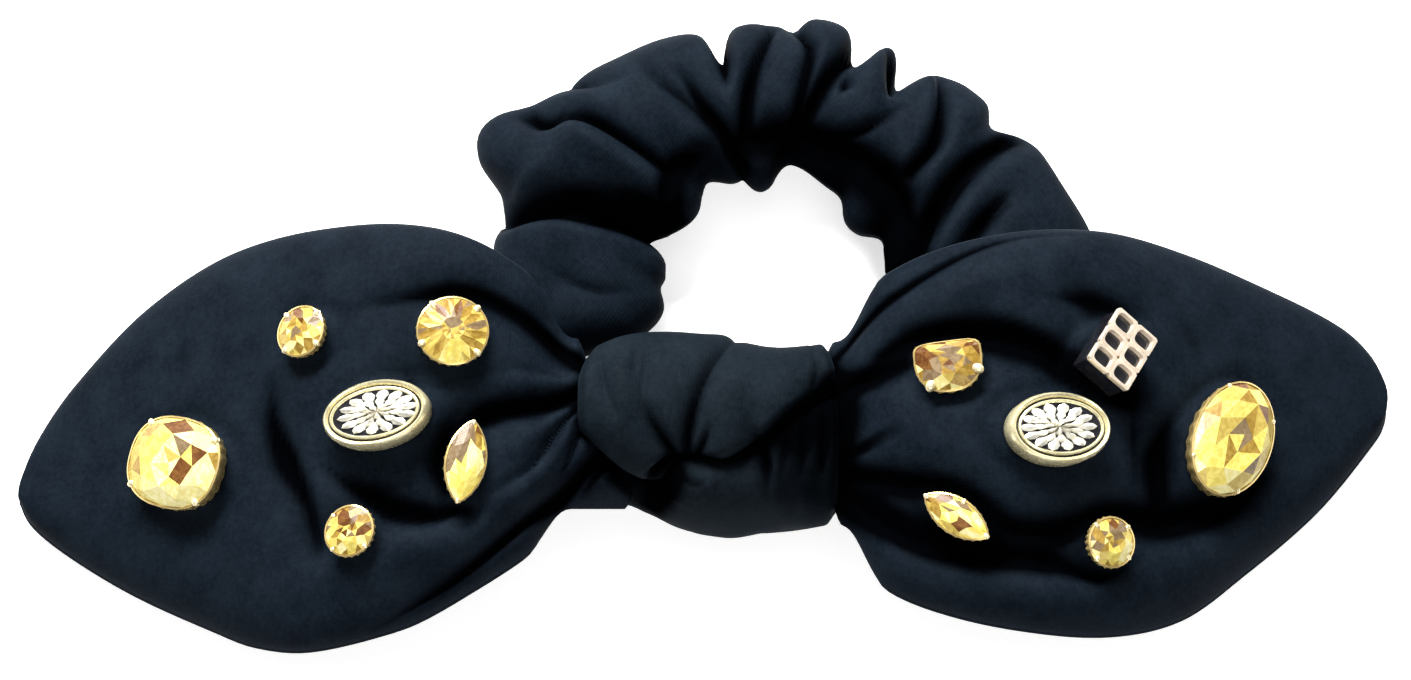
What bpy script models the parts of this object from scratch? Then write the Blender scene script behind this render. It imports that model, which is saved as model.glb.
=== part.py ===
"""Cheer hair bow: a two-wing satin sash knotted round a ruched elastic hair ring and set with jewels.

The bow lies face up on a table. +X runs along the wings, +Y from the knot to the hair ring, +Z up.
The origin is on the table, under the middle of the knot. Metres throughout.
"""
import math

import bmesh
import bpy
import numpy as np
from mathutils import Matrix, Vector

# ---------------------------------------------------------------- driving dimensions

CLEAR = 0.0003            # gap kept between pieces that touch on the real bow
FABRIC = 0.0010           # doubled satin with its backing
SEWN_RIM = 0.0009         # seam allowance folded in behind each sewn edge
SEAM_OFFSET = 0.0007      # the closing thread lies this far outside the edges

WING_TIP_X = 0.0892       # half the width of the bow
NECK_X = 0.0168           # where a wing comes out of the knot
HINGE_X = 0.0210          # fold line of a wing, just outside the knot
HINGE_Y = 0.0015
HINGE_Z = 0.0198
HINGE_R = HINGE_X - NECK_X

KNOT_HALF_X = 0.0162
KNOT_Y = 0.0003
KNOT_Z = 0.0139
KNOT_HALF_Y = 0.0127
KNOT_HALF_Z = 0.0138
KNOT_WALL = 0.0015

RING_AXIS_Y = 0.0015      # the ring tilts about this line, inside the knot
RING_AXIS_Z = 0.0074
RING_NECK_R = 0.0046      # the sleeve squeezed by the knot
RING_HALF_W = 0.0115      # the sleeve where it is full, seen from above
RING_HALF_H = 0.0080      # and its half thickness
RING_SPLIT_Y = 0.0270     # the crown stretches away from the arms above this line
ELASTIC_W = 0.0060
ELASTIC_T = 0.0012

# Plan outlines of the wings: (distance from the bow's middle, y), from the neck to the tip.
LEFT_TOP = [(0.0165, 0.0115), (0.0220, 0.0190), (0.0330, 0.0246), (0.0490, 0.0258), (0.0620, 0.0238),
            (0.0730, 0.0176), (0.0820, 0.0084), (0.0872, -0.0005), (0.0892, -0.0064)]
LEFT_BOTTOM = [(0.0165, -0.0085), (0.0220, -0.0160), (0.0330, -0.0233), (0.0490, -0.0278),
               (0.0620, -0.0248), (0.0730, -0.0196), (0.0820, -0.0139), (0.0872, -0.0098),
               (0.0892, -0.0064)]
RIGHT_TOP = [(0.0165, 0.0105), (0.0220, 0.0172), (0.0330, 0.0229), (0.0500, 0.0256), (0.0630, 0.0238),
             (0.0750, 0.0202), (0.0830, 0.0168), (0.0875, 0.0134), (0.0892, 0.0078)]
RIGHT_BOTTOM = [(0.0165, -0.0105), (0.0220, -0.0195), (0.0330, -0.0248), (0.0470, -0.0262),
                (0.0590, -0.0238), (0.0690, -0.0170), (0.0790, -0.0085), (0.0865, 0.0008),
                (0.0892, 0.0078)]

# Height of a wing's sewn edge plane above the table, from the neck, over the ring's arm, to the tip.
WING_CREST = [(0.0165, 0.0198), (0.0210, 0.0198), (0.0300, 0.0218), (0.0400, 0.0214), (0.0500, 0.0177),
              (0.0600, 0.0127), (0.0700, 0.0080), (0.0800, 0.0045), (0.0892, 0.0022)]
FRONT_PUFF = [(0.0210, 0.0042), (0.0340, 0.0056), (0.0600, 0.0052), (0.0780, 0.0036), (0.0892, 0.0012)]
BACK_PUFF = [(0.0210, 0.0042), (0.0280, 0.0022), (0.0420, 0.0030), (0.0620, 0.0040), (0.0780, 0.0026),
             (0.0892, 0.0010)]

# The middle line of the ring's sleeve in plan, from the knot's left face round to its right face.
RING_LINE = [(-0.0172, RING_AXIS_Y), (-0.0218, 0.0042), (-0.0243, 0.0115), (-0.0208, 0.0200),
             (-0.0183, 0.0280), (-0.0142, 0.0370), (-0.0040, 0.0443), (0.0095, 0.0466),
             (0.0218, 0.0425), (0.0318, 0.0350), (0.0367, 0.0260), (0.0358, 0.0162),
             (0.0302, 0.0075), (0.0238, 0.0028), (0.0172, RING_AXIS_Y)]


# ---------------------------------------------------------------- small tools

def clear_scene():
    """Remove every object, so that the file can run from any scene."""
    for item in list(bpy.data.objects):
        bpy.data.objects.remove(item, do_unlink=True)


def material(name, colour, roughness, metallic=0.0, transmission=0.0):
    """A plain Principled material."""
    made = bpy.data.materials.new(name)
    made.use_nodes = True
    shader = made.node_tree.nodes["Principled BSDF"]
    shader.inputs["Base Color"].default_value = (*colour, 1.0)
    shader.inputs["Roughness"].default_value = roughness
    shader.inputs["Metallic"].default_value = metallic
    shader.inputs["Transmission Weight"].default_value = transmission
    made.diffuse_color = (*colour, 1.0)
    return made


def smooth_line(points, per_span=12):
    """A dense Catmull-Rom curve through the given points, as an array."""
    knots = np.array(points, dtype=float)
    ends = np.vstack([2 * knots[0] - knots[1], knots, 2 * knots[-1] - knots[-2]])
    curve = []
    for a, b, c, d in zip(ends[:-3], ends[1:-2], ends[2:-1], ends[3:]):
        for step in range(per_span):
            f = step / per_span
            curve.append(0.5 * (2 * b + (c - a) * f + (2 * a - 5 * b + 4 * c - d) * f * f
                                + (3 * b - a - 3 * c + d) * f ** 3))
    curve.append(knots[-1])
    return np.array(curve)


def profile(points):
    """A smooth function of one variable through (x, y) points."""
    line = smooth_line(points)

    def at(x):
        return float(np.interp(x, line[:, 0], line[:, 1]))
    return at


def add_object(name, mesh_builder, surface, parent=None, place=None, smooth=None):
    """Make a named object from a finished bmesh, in world space or in the frame given by place."""
    mesh = bpy.data.meshes.new(name)
    bmesh.ops.recalc_face_normals(mesh_builder, faces=mesh_builder.faces)
    mesh_builder.to_mesh(mesh)
    mesh_builder.free()
    mesh.materials.append(surface)
    if smooth is not None:
        mesh.shade_smooth()
        mesh.set_sharp_from_angle(angle=math.radians(smooth))
    made = bpy.data.objects.new(name, mesh)
    bpy.context.scene.collection.objects.link(made)
    if place is not None:
        made.matrix_world = place
    if parent is not None:
        made.parent = parent
        made.matrix_parent_inverse = Matrix.Translation(parent.location).inverted()
    return made


def add_pivot(name, location):
    """An empty on a joint's axis; the pieces of a moving body are parented to it."""
    pivot = bpy.data.objects.new(name, None)
    pivot.location = location
    pivot.empty_display_size = 0.01
    bpy.context.scene.collection.objects.link(pivot)
    return pivot


def skin(builder, rings, wrap=True):
    """Join successive rings of vertices with quads."""
    for low, high in zip(rings[:-1], rings[1:]):
        count = len(low)
        for i in range(count if wrap else count - 1):
            j = (i + 1) % count
            builder.faces.new((low[i], low[j], high[j], high[i]))


def ring_of(builder, points):
    """New vertices at the given points."""
    return [builder.verts.new(point) for point in points]


def stack(loops):
    """A closed solid from a stack of loops, with a flat face on the first and the last."""
    builder = bmesh.new()
    rings = [ring_of(builder, loop) for loop in loops]
    skin(builder, rings)
    builder.faces.new(rings[0])
    builder.faces.new(rings[-1])
    return builder


def slab(outer, inner):
    """A closed solid between two grids of points of the same size, with its four edges walled."""
    builder = bmesh.new()
    top = [ring_of(builder, row) for row in outer]
    low = [ring_of(builder, row) for row in inner]
    skin(builder, top, wrap=False)
    skin(builder, low, wrap=False)
    for grid_row in (0, -1):
        skin(builder, [top[grid_row], low[grid_row]], wrap=False)
    for column in (0, -1):
        skin(builder, [[row[column] for row in top], [row[column] for row in low]], wrap=False)
    return builder


# ---------------------------------------------------------------- the wings

class Wing:
    """The shape of one wing: side is -1 on the left and +1 on the right."""

    def __init__(self, side, top, bottom):
        self.side = side
        self.top = profile(top)
        self.bottom = profile(bottom)
        self.crest = profile(WING_CREST)
        self.front = profile(FRONT_PUFF)
        self.back = profile(BACK_PUFF)

    def across(self, u, y):
        """Where y lies between the wing's two edges, from -1 at the bottom to +1 at the top."""
        top, bottom = self.top(u), self.bottom(u)
        return (2 * y - top - bottom) / (top - bottom)

    def puff(self, depth, u, t):
        """How far a panel stands off the edge plane: round at the fold line, a pillow beyond it."""
        height = depth(u)
        if u < HINGE_X:
            height = math.sqrt(max(HINGE_R ** 2 - (HINGE_X - u) ** 2, 0.0))
        return height * math.sqrt(max(1 - t ** 4, 0.0))

    def face(self, u, y):
        """Height of the front panel's outside."""
        return self.crest(u) + SEWN_RIM + self.puff(self.front, u, self.across(u, y))

    def grids(self, depth, sign, rows=17, columns=13):
        """Outside and inside grids of a panel; sign is +1 for the front panel and -1 for the back."""
        outside, inside = [], []
        for i in range(rows):
            u = NECK_X + (WING_TIP_X - 0.0005 - NECK_X) * (1 - math.cos(math.pi * i / (rows - 1))) / 2
            top, bottom = self.top(u), self.bottom(u)
            out_row, in_row = [], []
            for j in range(columns):
                t = math.sin(math.pi / 2 * (2 * j / (columns - 1) - 1))
                y = (top + bottom) / 2 + (top - bottom) / 2 * t
                rise = SEWN_RIM + self.puff(depth, u, t)
                lining = max(CLEAR / 2, rise - FABRIC)
                out_row.append((self.side * u, y, self.crest(u) + sign * rise))
                in_row.append((self.side * u, y, self.crest(u) + sign * lining))
            outside.append(out_row)
            inside.append(in_row)
        return outside, inside

    def seat(self, u, y, turn):
        """The frame of a jewel glued on the front panel: +Z along the fabric's normal."""
        step = 0.002
        x_slope = self.side * (self.face(u + step, y) - self.face(u - step, y)) / (2 * step)
        y_slope = (self.face(u, y + step) - self.face(u, y - step)) / (2 * step)
        normal = Vector((-x_slope, -y_slope, 1)).normalized()
        along = Vector((math.cos(math.radians(turn)), math.sin(math.radians(turn)), 0))
        along = (along - normal * along.dot(normal)).normalized()
        frame = Matrix((along, normal.cross(along), normal)).transposed().to_4x4()
        spot = Vector((self.side * u, y, self.face(u, y))) + normal * CLEAR
        return Matrix.Translation(spot) @ frame


def make_panels(wing, name, pivot, surface):
    """The two satin panels of a wing."""
    builder = slab(*wing.grids(wing.front, 1))
    add_object(name + "_front_panel", builder, surface, pivot, smooth=40)
    builder = slab(*wing.grids(wing.back, -1))
    add_object(name + "_back_panel", builder, surface, pivot, smooth=40)


def make_seam_thread(wing, name, pivot, surface):
    """The thread that closes the two panels, just outside their edges from neck to neck."""
    start = HINGE_X + 0.0015
    stops = 22
    reach = WING_TIP_X + 0.0001
    half = []
    for edge, sign in ((wing.top, 1), (wing.bottom, -1)):
        run = []
        for i in range(stops):
            u = start + (reach - start) * math.sin(math.pi / 2 * i / (stops - 1))
            run.append((wing.side * u, edge(min(u, WING_TIP_X)) + sign * SEAM_OFFSET, wing.crest(u)))
        half.append(run)
    points = half[0][:-1] + half[1][-2::-1]
    curve = bpy.data.curves.new(name + "_seam_thread", "CURVE")
    curve.dimensions = "3D"
    curve.bevel_depth = 0.0003
    curve.bevel_resolution = 0
    curve.use_fill_caps = True
    spline = curve.splines.new("POLY")
    spline.points.add(len(points) - 1)
    for knot, place in zip(spline.points, points):
        knot.co = (*place, 1)
    curve.materials.append(surface)
    thread = bpy.data.objects.new(name + "_seam_thread", curve)
    bpy.context.scene.collection.objects.link(thread)
    thread.parent = pivot
    thread.matrix_parent_inverse = Matrix.Translation(pivot.location).inverted()


# ---------------------------------------------------------------- the knot

def barrel(x):
    """The knot narrows towards its two ends."""
    return 1 - 0.16 * abs(x / KNOT_HALF_X) ** 3


def knot_point(x, angle, inset):
    """A point on the knot's wrap: angle runs from +Y over the front to -Y and under to the back."""
    half_y = (KNOT_HALF_Y - inset) * barrel(x)
    half_z = (KNOT_HALF_Z - inset) * (1 - 0.5 * (1 - barrel(x)))
    return (x, KNOT_Y + half_y * math.cos(angle), KNOT_Z + half_z * math.sin(angle))


def knot_slab(x_low, x_high, angle_low, angle_high, inset, wall, columns, rows):
    """A curved layer of fabric that follows the knot's wrap."""
    outside, inside = [], []
    for i in range(rows):
        angle = math.radians(angle_low + (angle_high - angle_low) * i / (rows - 1))
        xs = [x_low + (x_high - x_low) * j / (columns - 1) for j in range(columns)]
        outside.append([knot_point(x, angle, inset) for x in xs])
        inside.append([knot_point(x, angle, inset + wall) for x in xs])
    return slab(outside, inside)


def bar(half_x, y, z, half_y, half_z, sides=16):
    """A straight bar along X with an oval section."""
    loops = []
    for x in (-half_x, half_x):
        loops.append([(x, y + half_y * math.cos(2 * math.pi * k / sides),
                       z + half_z * math.sin(2 * math.pi * k / sides)) for k in range(sides)])
    return stack(loops)


def make_knot(surface):
    """The knot: the wrap over the front, the tuck below it, the flat band behind, the sash inside."""
    wrap = knot_slab(-KNOT_HALF_X, KNOT_HALF_X, -50, 196, 0.0, KNOT_WALL, columns=11, rows=25)
    add_object("knot_front_wrap", wrap, surface, smooth=40)
    tuck = knot_slab(-0.0125, 0.0148, 200, 238, 0.0, 0.0026, columns=9, rows=7)
    add_object("knot_lower_tuck", tuck, surface, smooth=40)
    band_x, band_y, band_z = 0.0140, 0.0052, 0.0018
    corners = [(-band_x, -band_y), (band_x, -band_y), (band_x, band_y), (-band_x, band_y)]
    band = stack([[(x, y, 0.0) for x, y in corners], [(x, y, band_z) for x, y in corners]])
    add_object("knot_back_band", band, surface)
    core = bar(KNOT_HALF_X - 0.0006, KNOT_Y, HINGE_Z, 0.0060, 0.0038)
    add_object("sash_core", core, surface, smooth=40)


# ---------------------------------------------------------------- the hair ring

def fullness(index, count):
    """0 where the knot squeezes the sleeve, 1 where it is full."""
    nearest = min(index, count - 1 - index) / count
    f = min(nearest / 0.26, 1.0)
    return f * f * (3 - 2 * f)


def sleeve_sections():
    """Middle point, sideways direction, half width and half height along the whole sleeve."""
    line = smooth_line(RING_LINE, per_span=6)
    ways = np.gradient(line, axis=0)
    sections = []
    for index, (point, way) in enumerate(zip(line, ways)):
        full = fullness(index, len(line))
        at_knot = index in (0, len(line) - 1)
        side = Vector((0, 1, 0)) if at_knot else Vector((way[1], -way[0], 0)).normalized()
        half_w = RING_NECK_R + (RING_HALF_W - RING_NECK_R) * full
        half_h = RING_NECK_R + (RING_HALF_H - RING_NECK_R) * full
        middle = Vector((point[0], point[1], RING_AXIS_Z + (RING_HALF_H - RING_AXIS_Z) * full))
        sections.append((middle, side, half_w, half_h))
    return sections


def oval_loop(section, shrink, sides=16):
    """Points round one section of the sleeve."""
    middle, side, half_w, half_h = section
    loop = []
    for k in range(sides):
        a = 2 * math.pi * k / sides
        loop.append(middle + side * ((half_w - shrink) * math.cos(a))
                    + Vector((0, 0, (half_h - shrink) * math.sin(a))))
    return loop


def open_tube(sections, wall):
    """A tube with two open ends."""
    builder = bmesh.new()
    outer = [ring_of(builder, oval_loop(section, 0.0)) for section in sections]
    inner = [ring_of(builder, oval_loop(section, wall)) for section in sections]
    skin(builder, outer)
    skin(builder, inner)
    skin(builder, [outer[0], inner[0]])
    skin(builder, [outer[-1], inner[-1]])
    return builder


def flat_strip(sections, lift=0.0):
    """A flat elastic band along the middle of the given sections."""
    loops = []
    for middle, side, _, _ in sections:
        up = Vector((0, 0, ELASTIC_W / 2))
        out = side * (ELASTIC_T / 2)
        at = middle + side * lift
        loops.append([at - out - up, at + out - up, at + out + up, at - out + up])
    return stack(loops)


def trim(sections, keep):
    """Every second section of those kept, always with the last one."""
    chosen = [section for section in sections if keep(section[0])]
    return chosen[:-1:2] + [chosen[-1]]


def backwards(sections):
    """The same sections met from the other end."""
    return [(middle, -side, half_w, half_h) for middle, side, half_w, half_h in reversed(sections)]


def split_ends(sections, sign):
    """Move the two cut ends to their side of the split line, square to it."""
    moved = []
    for index, (middle, side, half_w, half_h) in enumerate(sections):
        at_cut = abs(middle.y - RING_SPLIT_Y) < 0.0025 and index in (0, len(sections) - 1)
        if at_cut:
            middle = Vector((middle.x, RING_SPLIT_Y + sign * CLEAR, middle.z))
            side = Vector((math.copysign(1, side.x), 0, 0))
        moved.append((middle, side, half_w, half_h))
    return moved


def make_ring(satin, elastic, arms_pivot, crown_pivot):
    """The ruched sleeve and the elastic inside it: squeezed core, two arms, and the crown."""
    sections = sleeve_sections()
    crown = split_ends(trim(sections, lambda p: p.y >= RING_SPLIT_Y), 1)
    left = split_ends(trim(sections, lambda p: p.y < RING_SPLIT_Y and p.x < 0), -1)
    right = split_ends(trim(sections, lambda p: p.y < RING_SPLIT_Y and p.x > 0), -1)
    add_object("sleeve_crown", open_tube(crown, FABRIC), satin, crown_pivot, smooth=40)
    add_object("sleeve_left_arm", open_tube(left, FABRIC), satin, arms_pivot, smooth=40)
    add_object("sleeve_right_arm", open_tube(right, FABRIC), satin, arms_pivot, smooth=40)

    inside_knot = []
    for step in (-1, -0.5, 0, 0.5, 1):
        middle = Vector((step * KNOT_HALF_X, RING_AXIS_Y, RING_AXIS_Z))
        inside_knot.append((middle, Vector((0, -1, 0)), RING_NECK_R, RING_NECK_R))
    add_object("sleeve_gathered_core", open_tube(inside_knot, FABRIC), satin, arms_pivot, smooth=40)

    add_object("elastic_crown", flat_strip(crown), elastic, crown_pivot)
    base = backwards(left) + inside_knot[1:-1] + backwards(right)
    add_object("elastic_base", flat_strip(base), elastic, arms_pivot)
    top = len(crown) // 2
    overlap = flat_strip(crown[top - 2:top + 3], lift=ELASTIC_T + CLEAR)
    add_object("elastic_overlap", overlap, elastic, crown_pivot)


# ---------------------------------------------------------------- the jewels

def oval(angle, half_l, half_w):
    """Round and oval stones."""
    return half_l * math.cos(angle), half_w * math.sin(angle)


def cushion(angle, half_l, half_w):
    """A square with bowed sides and round corners."""
    c, s = math.cos(angle), math.sin(angle)
    return (half_l * math.copysign(math.sqrt(abs(c)), c),
            half_w * math.copysign(math.sqrt(abs(s)), s))


def marquise(angle, half_l, half_w):
    """A boat shape, pointed at both ends."""
    s = math.sin(angle)
    return half_l * math.cos(angle), half_w * s * abs(s) ** 0.7


def half_moon(angle, half_l, half_w):
    """Nearly straight along the top and round below."""
    c, s = math.cos(angle), math.sin(angle)
    if s > 0:
        return half_l * math.copysign(abs(c) ** 0.45, c), 0.62 * half_w * abs(s) ** 0.35
    return half_l * math.copysign(abs(c) ** 0.8, c), half_w * s


def outline(shape, half_l, half_w, z, count, turn=0.0):
    """One loop of a stone's or a setting's outline at height z."""
    loop = []
    for k in range(count):
        x, y = shape(2 * math.pi * (k + turn) / count, half_l, half_w)
        loop.append(Vector((x, y, z)))
    return loop


def stone_sizes(half_w):
    """Crown height and pavilion depth of a stone, from its half width."""
    return 0.30 * half_w + 0.0002, 0.55 * half_w + 0.0006


def faceted_stone(shape, half_l, half_w, girdle_z):
    """A cut stone: the convex hull of its table, crown, girdle, pavilion and culet points."""
    crown, pavilion = stone_sizes(half_w)
    table, break_line, waist = 0.58, 0.83, 0.0002
    points = outline(shape, half_l * table, half_w * table, girdle_z + crown, 8, 0.5)
    points += outline(shape, half_l * break_line, half_w * break_line, girdle_z + 0.6 * crown, 8)
    points += outline(shape, half_l, half_w, girdle_z + waist, 16)
    points += outline(shape, half_l, half_w, girdle_z - waist, 16)
    points += outline(shape, half_l * 0.62, half_w * 0.62, girdle_z - 0.55 * pavilion, 8, 0.5)
    points += outline(shape, half_l * 0.06, half_w * 0.06, girdle_z - pavilion, 4)
    builder = bmesh.new()
    for point in points:
        builder.verts.new(point)
    hull = bmesh.ops.convex_hull(builder, input=builder.verts)
    spare = {item for item in hull["geom_interior"] + hull["geom_unused"]
             if isinstance(item, bmesh.types.BMVert)}
    bmesh.ops.delete(builder, geom=list(spare), context="VERTS")
    return builder


def claw_setting(shape, half_l, half_w, claws, count=24):
    """A metal cup with a coned seat for the stone and claws bent over the stone's crown."""
    crown, pavilion = stone_sizes(half_w)
    girdle_z = pavilion + 0.0012
    wall = 0.0005
    gap = 0.00025

    def loop(offset, z):
        return outline(shape, half_l + offset, half_w + offset, z, count)

    builder = bmesh.new()
    rows = [loop(-0.0008, 0.0), loop(gap + wall, girdle_z * 0.55), loop(gap + wall, girdle_z + 0.0003),
            loop(gap, girdle_z + 0.0003), loop(gap, girdle_z - 0.0003),
            outline(shape, half_l * 0.16, half_w * 0.16, 0.0006, count)]
    rings = [ring_of(builder, row) for row in rows]
    skin(builder, rings)
    builder.faces.new(rings[0])
    builder.faces.new(rings[-1])
    builder.faces.ensure_lookup_table()
    rim = builder.faces[2 * count:3 * count]
    chosen = [rim[int(count * spot) % count] for spot in claws]
    for face in chosen:
        raise_claw(builder, face, crown)
    return builder


def raise_claw(builder, face, crown):
    """Pull one piece of the cup's rim up, then in over the stone."""
    centre = face.calc_center_median()
    inward = -Vector((centre.x, centre.y, 0)).normalized()
    nearest = min(vert.co.xy.length for vert in face.verts)
    for rise, lean, tip_rise in ((0.7 * crown, 0.0, 0.0), (0.45 * crown, 0.0008, 0.0004)):
        grown = bmesh.ops.extrude_face_region(builder, geom=[face])
        fresh = [item for item in grown["geom"] if isinstance(item, bmesh.types.BMVert)]
        bmesh.ops.delete(builder, geom=[face], context="FACES_ONLY")
        face = next(item for item in grown["geom"] if isinstance(item, bmesh.types.BMFace))
        for vert in fresh:
            is_outer = vert.co.xy.length > nearest + 0.0002
            vert.co.z += rise + (tip_rise if is_outer else 0.0)
            vert.co += inward * lean


def add_jewel(name, wing, pivot, spot, turn, cut, size, claws, glass, gold):
    """One claw-set stone on a wing: two pieces, the stone and its setting."""
    half_l, half_w = size[0] / 2, size[1] / 2
    place = wing.seat(*spot, turn)
    setting = claw_setting(cut, half_l, half_w, claws)
    add_object(name + "_setting", setting, gold, pivot, place, smooth=35)
    girdle_z = stone_sizes(half_w)[1] + 0.0012
    stone = faceted_stone(cut, half_l, half_w, girdle_z)
    add_object(name + "_stone", stone, glass, pivot, place)


def add_emblem(name, wing, pivot, spot, turn, gold, enamel, pale):
    """An oval bead: gold body with a double rim, a black field, and a raised six-petal flower."""
    place = wing.seat(*spot, turn)
    half_l, half_w = 0.0067, 0.0043
    levels = [(-0.0006, 0.0), (0.0, 0.0008), (0.0, 0.0040), (-0.0003, 0.0045), (-0.0007, 0.0045),
              (-0.0009, 0.0042), (-0.0011, 0.0045), (-0.0014, 0.0045), (-0.0014, 0.0035)]
    body = stack([outline(oval, half_l + step, half_w + step, z, 28) for step, z in levels])
    add_object(name + "_body", body, gold, pivot, place, smooth=35)
    inset = 0.0014 + CLEAR
    field = stack([outline(oval, half_l - inset, half_w - inset, z, 24) for z in (0.0038, 0.0043)])
    add_object(name + "_field", field, enamel, pivot, place, smooth=35)

    def petals(z, scale):
        loop = []
        for k in range(48):
            angle = 2 * math.pi * k / 48
            reach = scale * (0.66 + 0.34 * abs(math.cos(3 * angle)))
            loop.append(Vector((reach * 0.0044 * math.cos(angle), reach * 0.0025 * math.sin(angle), z)))
        return loop
    flower = stack([petals(0.0043 + CLEAR, 1.0), petals(0.0049, 1.0), petals(0.0052, 0.8)])
    add_object(name + "_flower", flower, pale, pivot, place, smooth=35)


def add_charm(name, wing, pivot, spot, turn, enamel, gold):
    """A black enamel block under a pierced gold plate with a plain grid of windows."""
    place = wing.seat(*spot, turn)
    length, width, height = 0.0092, 0.0072, 0.0042
    bar_w, plate_t = 0.0009, 0.0008
    rows = [(0.94, 0.0), (1.0, 0.0005), (1.0, height - 0.0004), (0.96, height)]

    def block_loop(scale, z):
        x, y, cut = scale * length / 2, scale * width / 2, 0.0008
        corners = [(x - cut, -y), (x, -y + cut), (x, y - cut), (x - cut, y),
                   (cut - x, y), (-x, y - cut), (-x, cut - y), (cut - x, -y)]
        return [Vector((a, b, z)) for a, b in corners]
    block = stack([block_loop(scale, z) for scale, z in rows])
    add_object(name + "_block", block, enamel, pivot, place, smooth=35)

    def stops(span, windows):
        cell = (span - bar_w * (windows + 1)) / windows
        marks = [-span / 2]
        for _ in range(windows):
            marks += [marks[-1] + bar_w, marks[-1] + bar_w + cell]
        return marks + [span / 2]
    xs, ys = stops(length - 0.0004, 3), stops(width - 0.0004, 2)
    base = height + CLEAR
    builder = bmesh.new()
    grid = [[builder.verts.new((x, y, base)) for y in ys] for x in xs]
    for i in range(len(xs) - 1):
        for j in range(len(ys) - 1):
            if i % 2 == 0 or j % 2 == 0:
                builder.faces.new((grid[i][j], grid[i + 1][j], grid[i + 1][j + 1], grid[i][j + 1]))
    raised = bmesh.ops.extrude_face_region(builder, geom=list(builder.faces))
    for item in raised["geom"]:
        if isinstance(item, bmesh.types.BMVert):
            item.co.z += plate_t
    add_object(name + "_plate", builder, gold, pivot, place)


# ---------------------------------------------------------------- assembly

def main():
    clear_scene()
    satin = material("navy_satin", (0.020, 0.028, 0.038), 0.55)
    thread = material("navy_thread", (0.016, 0.022, 0.030), 0.7)
    elastic = material("black_elastic", (0.02, 0.02, 0.02), 0.8)
    glass = material("champagne_glass", (0.85, 0.66, 0.26), 0.05, transmission=0.6)
    gold = material("gold_plate", (0.86, 0.68, 0.34), 0.25, metallic=1.0)
    rose = material("rose_gold_plate", (0.90, 0.74, 0.60), 0.25, metallic=1.0)
    pale = material("pale_gold_relief", (0.92, 0.88, 0.76), 0.25, metallic=1.0)
    enamel = material("black_enamel", (0.010, 0.010, 0.012), 0.15)

    left_pivot = add_pivot("left_wing_fold_axis", (-HINGE_X, HINGE_Y, HINGE_Z))
    right_pivot = add_pivot("right_wing_fold_axis", (HINGE_X, HINGE_Y, HINGE_Z))
    arms_pivot = add_pivot("ring_tilt_axis", (0, RING_AXIS_Y, RING_AXIS_Z))
    crown_pivot = add_pivot("loop_stretch_axis", (0.0097, RING_SPLIT_Y, RING_HALF_H))

    make_knot(satin)
    make_ring(satin, elastic, arms_pivot, crown_pivot)
    left = Wing(-1, LEFT_TOP, LEFT_BOTTOM)
    right = Wing(1, RIGHT_TOP, RIGHT_BOTTOM)
    for wing, name, pivot in ((left, "left_wing", left_pivot), (right, "right_wing", right_pivot)):
        make_panels(wing, name, pivot, satin)
        make_seam_thread(wing, name, pivot, thread)

    four = (0.125, 0.375, 0.625, 0.875)
    tips = (0.02, 0.27, 0.48, 0.77)
    flanks = (0.18, 0.32, 0.68, 0.82)
    low_pair = (0.06, 0.66)
    jewels = [
        ("left_upper_round", left, (0.0491, 0.0102), 20, oval, (0.0053, 0.0053), four),
        ("left_neck_round", left, (0.0314, 0.0090), 10, oval, (0.0075, 0.0075), four),
        ("left_marquise", left, (0.0300, -0.0070), 74, marquise, (0.0096, 0.0041), flanks),
        ("left_cushion", left, (0.0654, -0.0044), -15, cushion, (0.0122, 0.0104), four),
        ("left_lower_round", left, (0.0429, -0.0154), 35, oval, (0.0053, 0.0053), four),
        ("right_half_moon", right, (0.0304, 0.0056), 5, half_moon, (0.0076, 0.0066), low_pair),
        ("right_marquise", right, (0.0309, -0.0139), -33, marquise, (0.0090, 0.0041), flanks),
        ("right_lower_round", right, (0.0488, -0.0161), 15, oval, (0.0053, 0.0053), four),
        ("right_big_oval", right, (0.0650, -0.0014), 53, oval, (0.0144, 0.0102), tips),
    ]
    for name, wing, spot, turn, cut, size, claws in jewels:
        pivot = left_pivot if wing.side < 0 else right_pivot
        add_jewel(name, wing, pivot, spot, turn, cut, size, claws, glass, gold)
    add_emblem("left_emblem", left, left_pivot, (0.0399, -0.0010), 8, gold, enamel, pale)
    add_emblem("right_emblem", right, right_pivot, (0.0424, -0.0026), 4, gold, enamel, pale)
    add_charm("right_charm", right, right_pivot, (0.0501, 0.0079), 52, enamel, rose)


main()
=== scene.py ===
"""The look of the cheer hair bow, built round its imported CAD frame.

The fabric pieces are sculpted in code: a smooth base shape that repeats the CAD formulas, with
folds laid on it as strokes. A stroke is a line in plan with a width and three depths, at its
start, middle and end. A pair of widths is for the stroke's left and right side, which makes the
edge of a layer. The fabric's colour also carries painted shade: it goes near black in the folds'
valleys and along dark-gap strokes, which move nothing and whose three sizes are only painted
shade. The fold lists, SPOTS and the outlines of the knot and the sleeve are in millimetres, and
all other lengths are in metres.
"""
import math

import bmesh
import bpy
import numpy as np
from mathutils import Matrix, Vector


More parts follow.
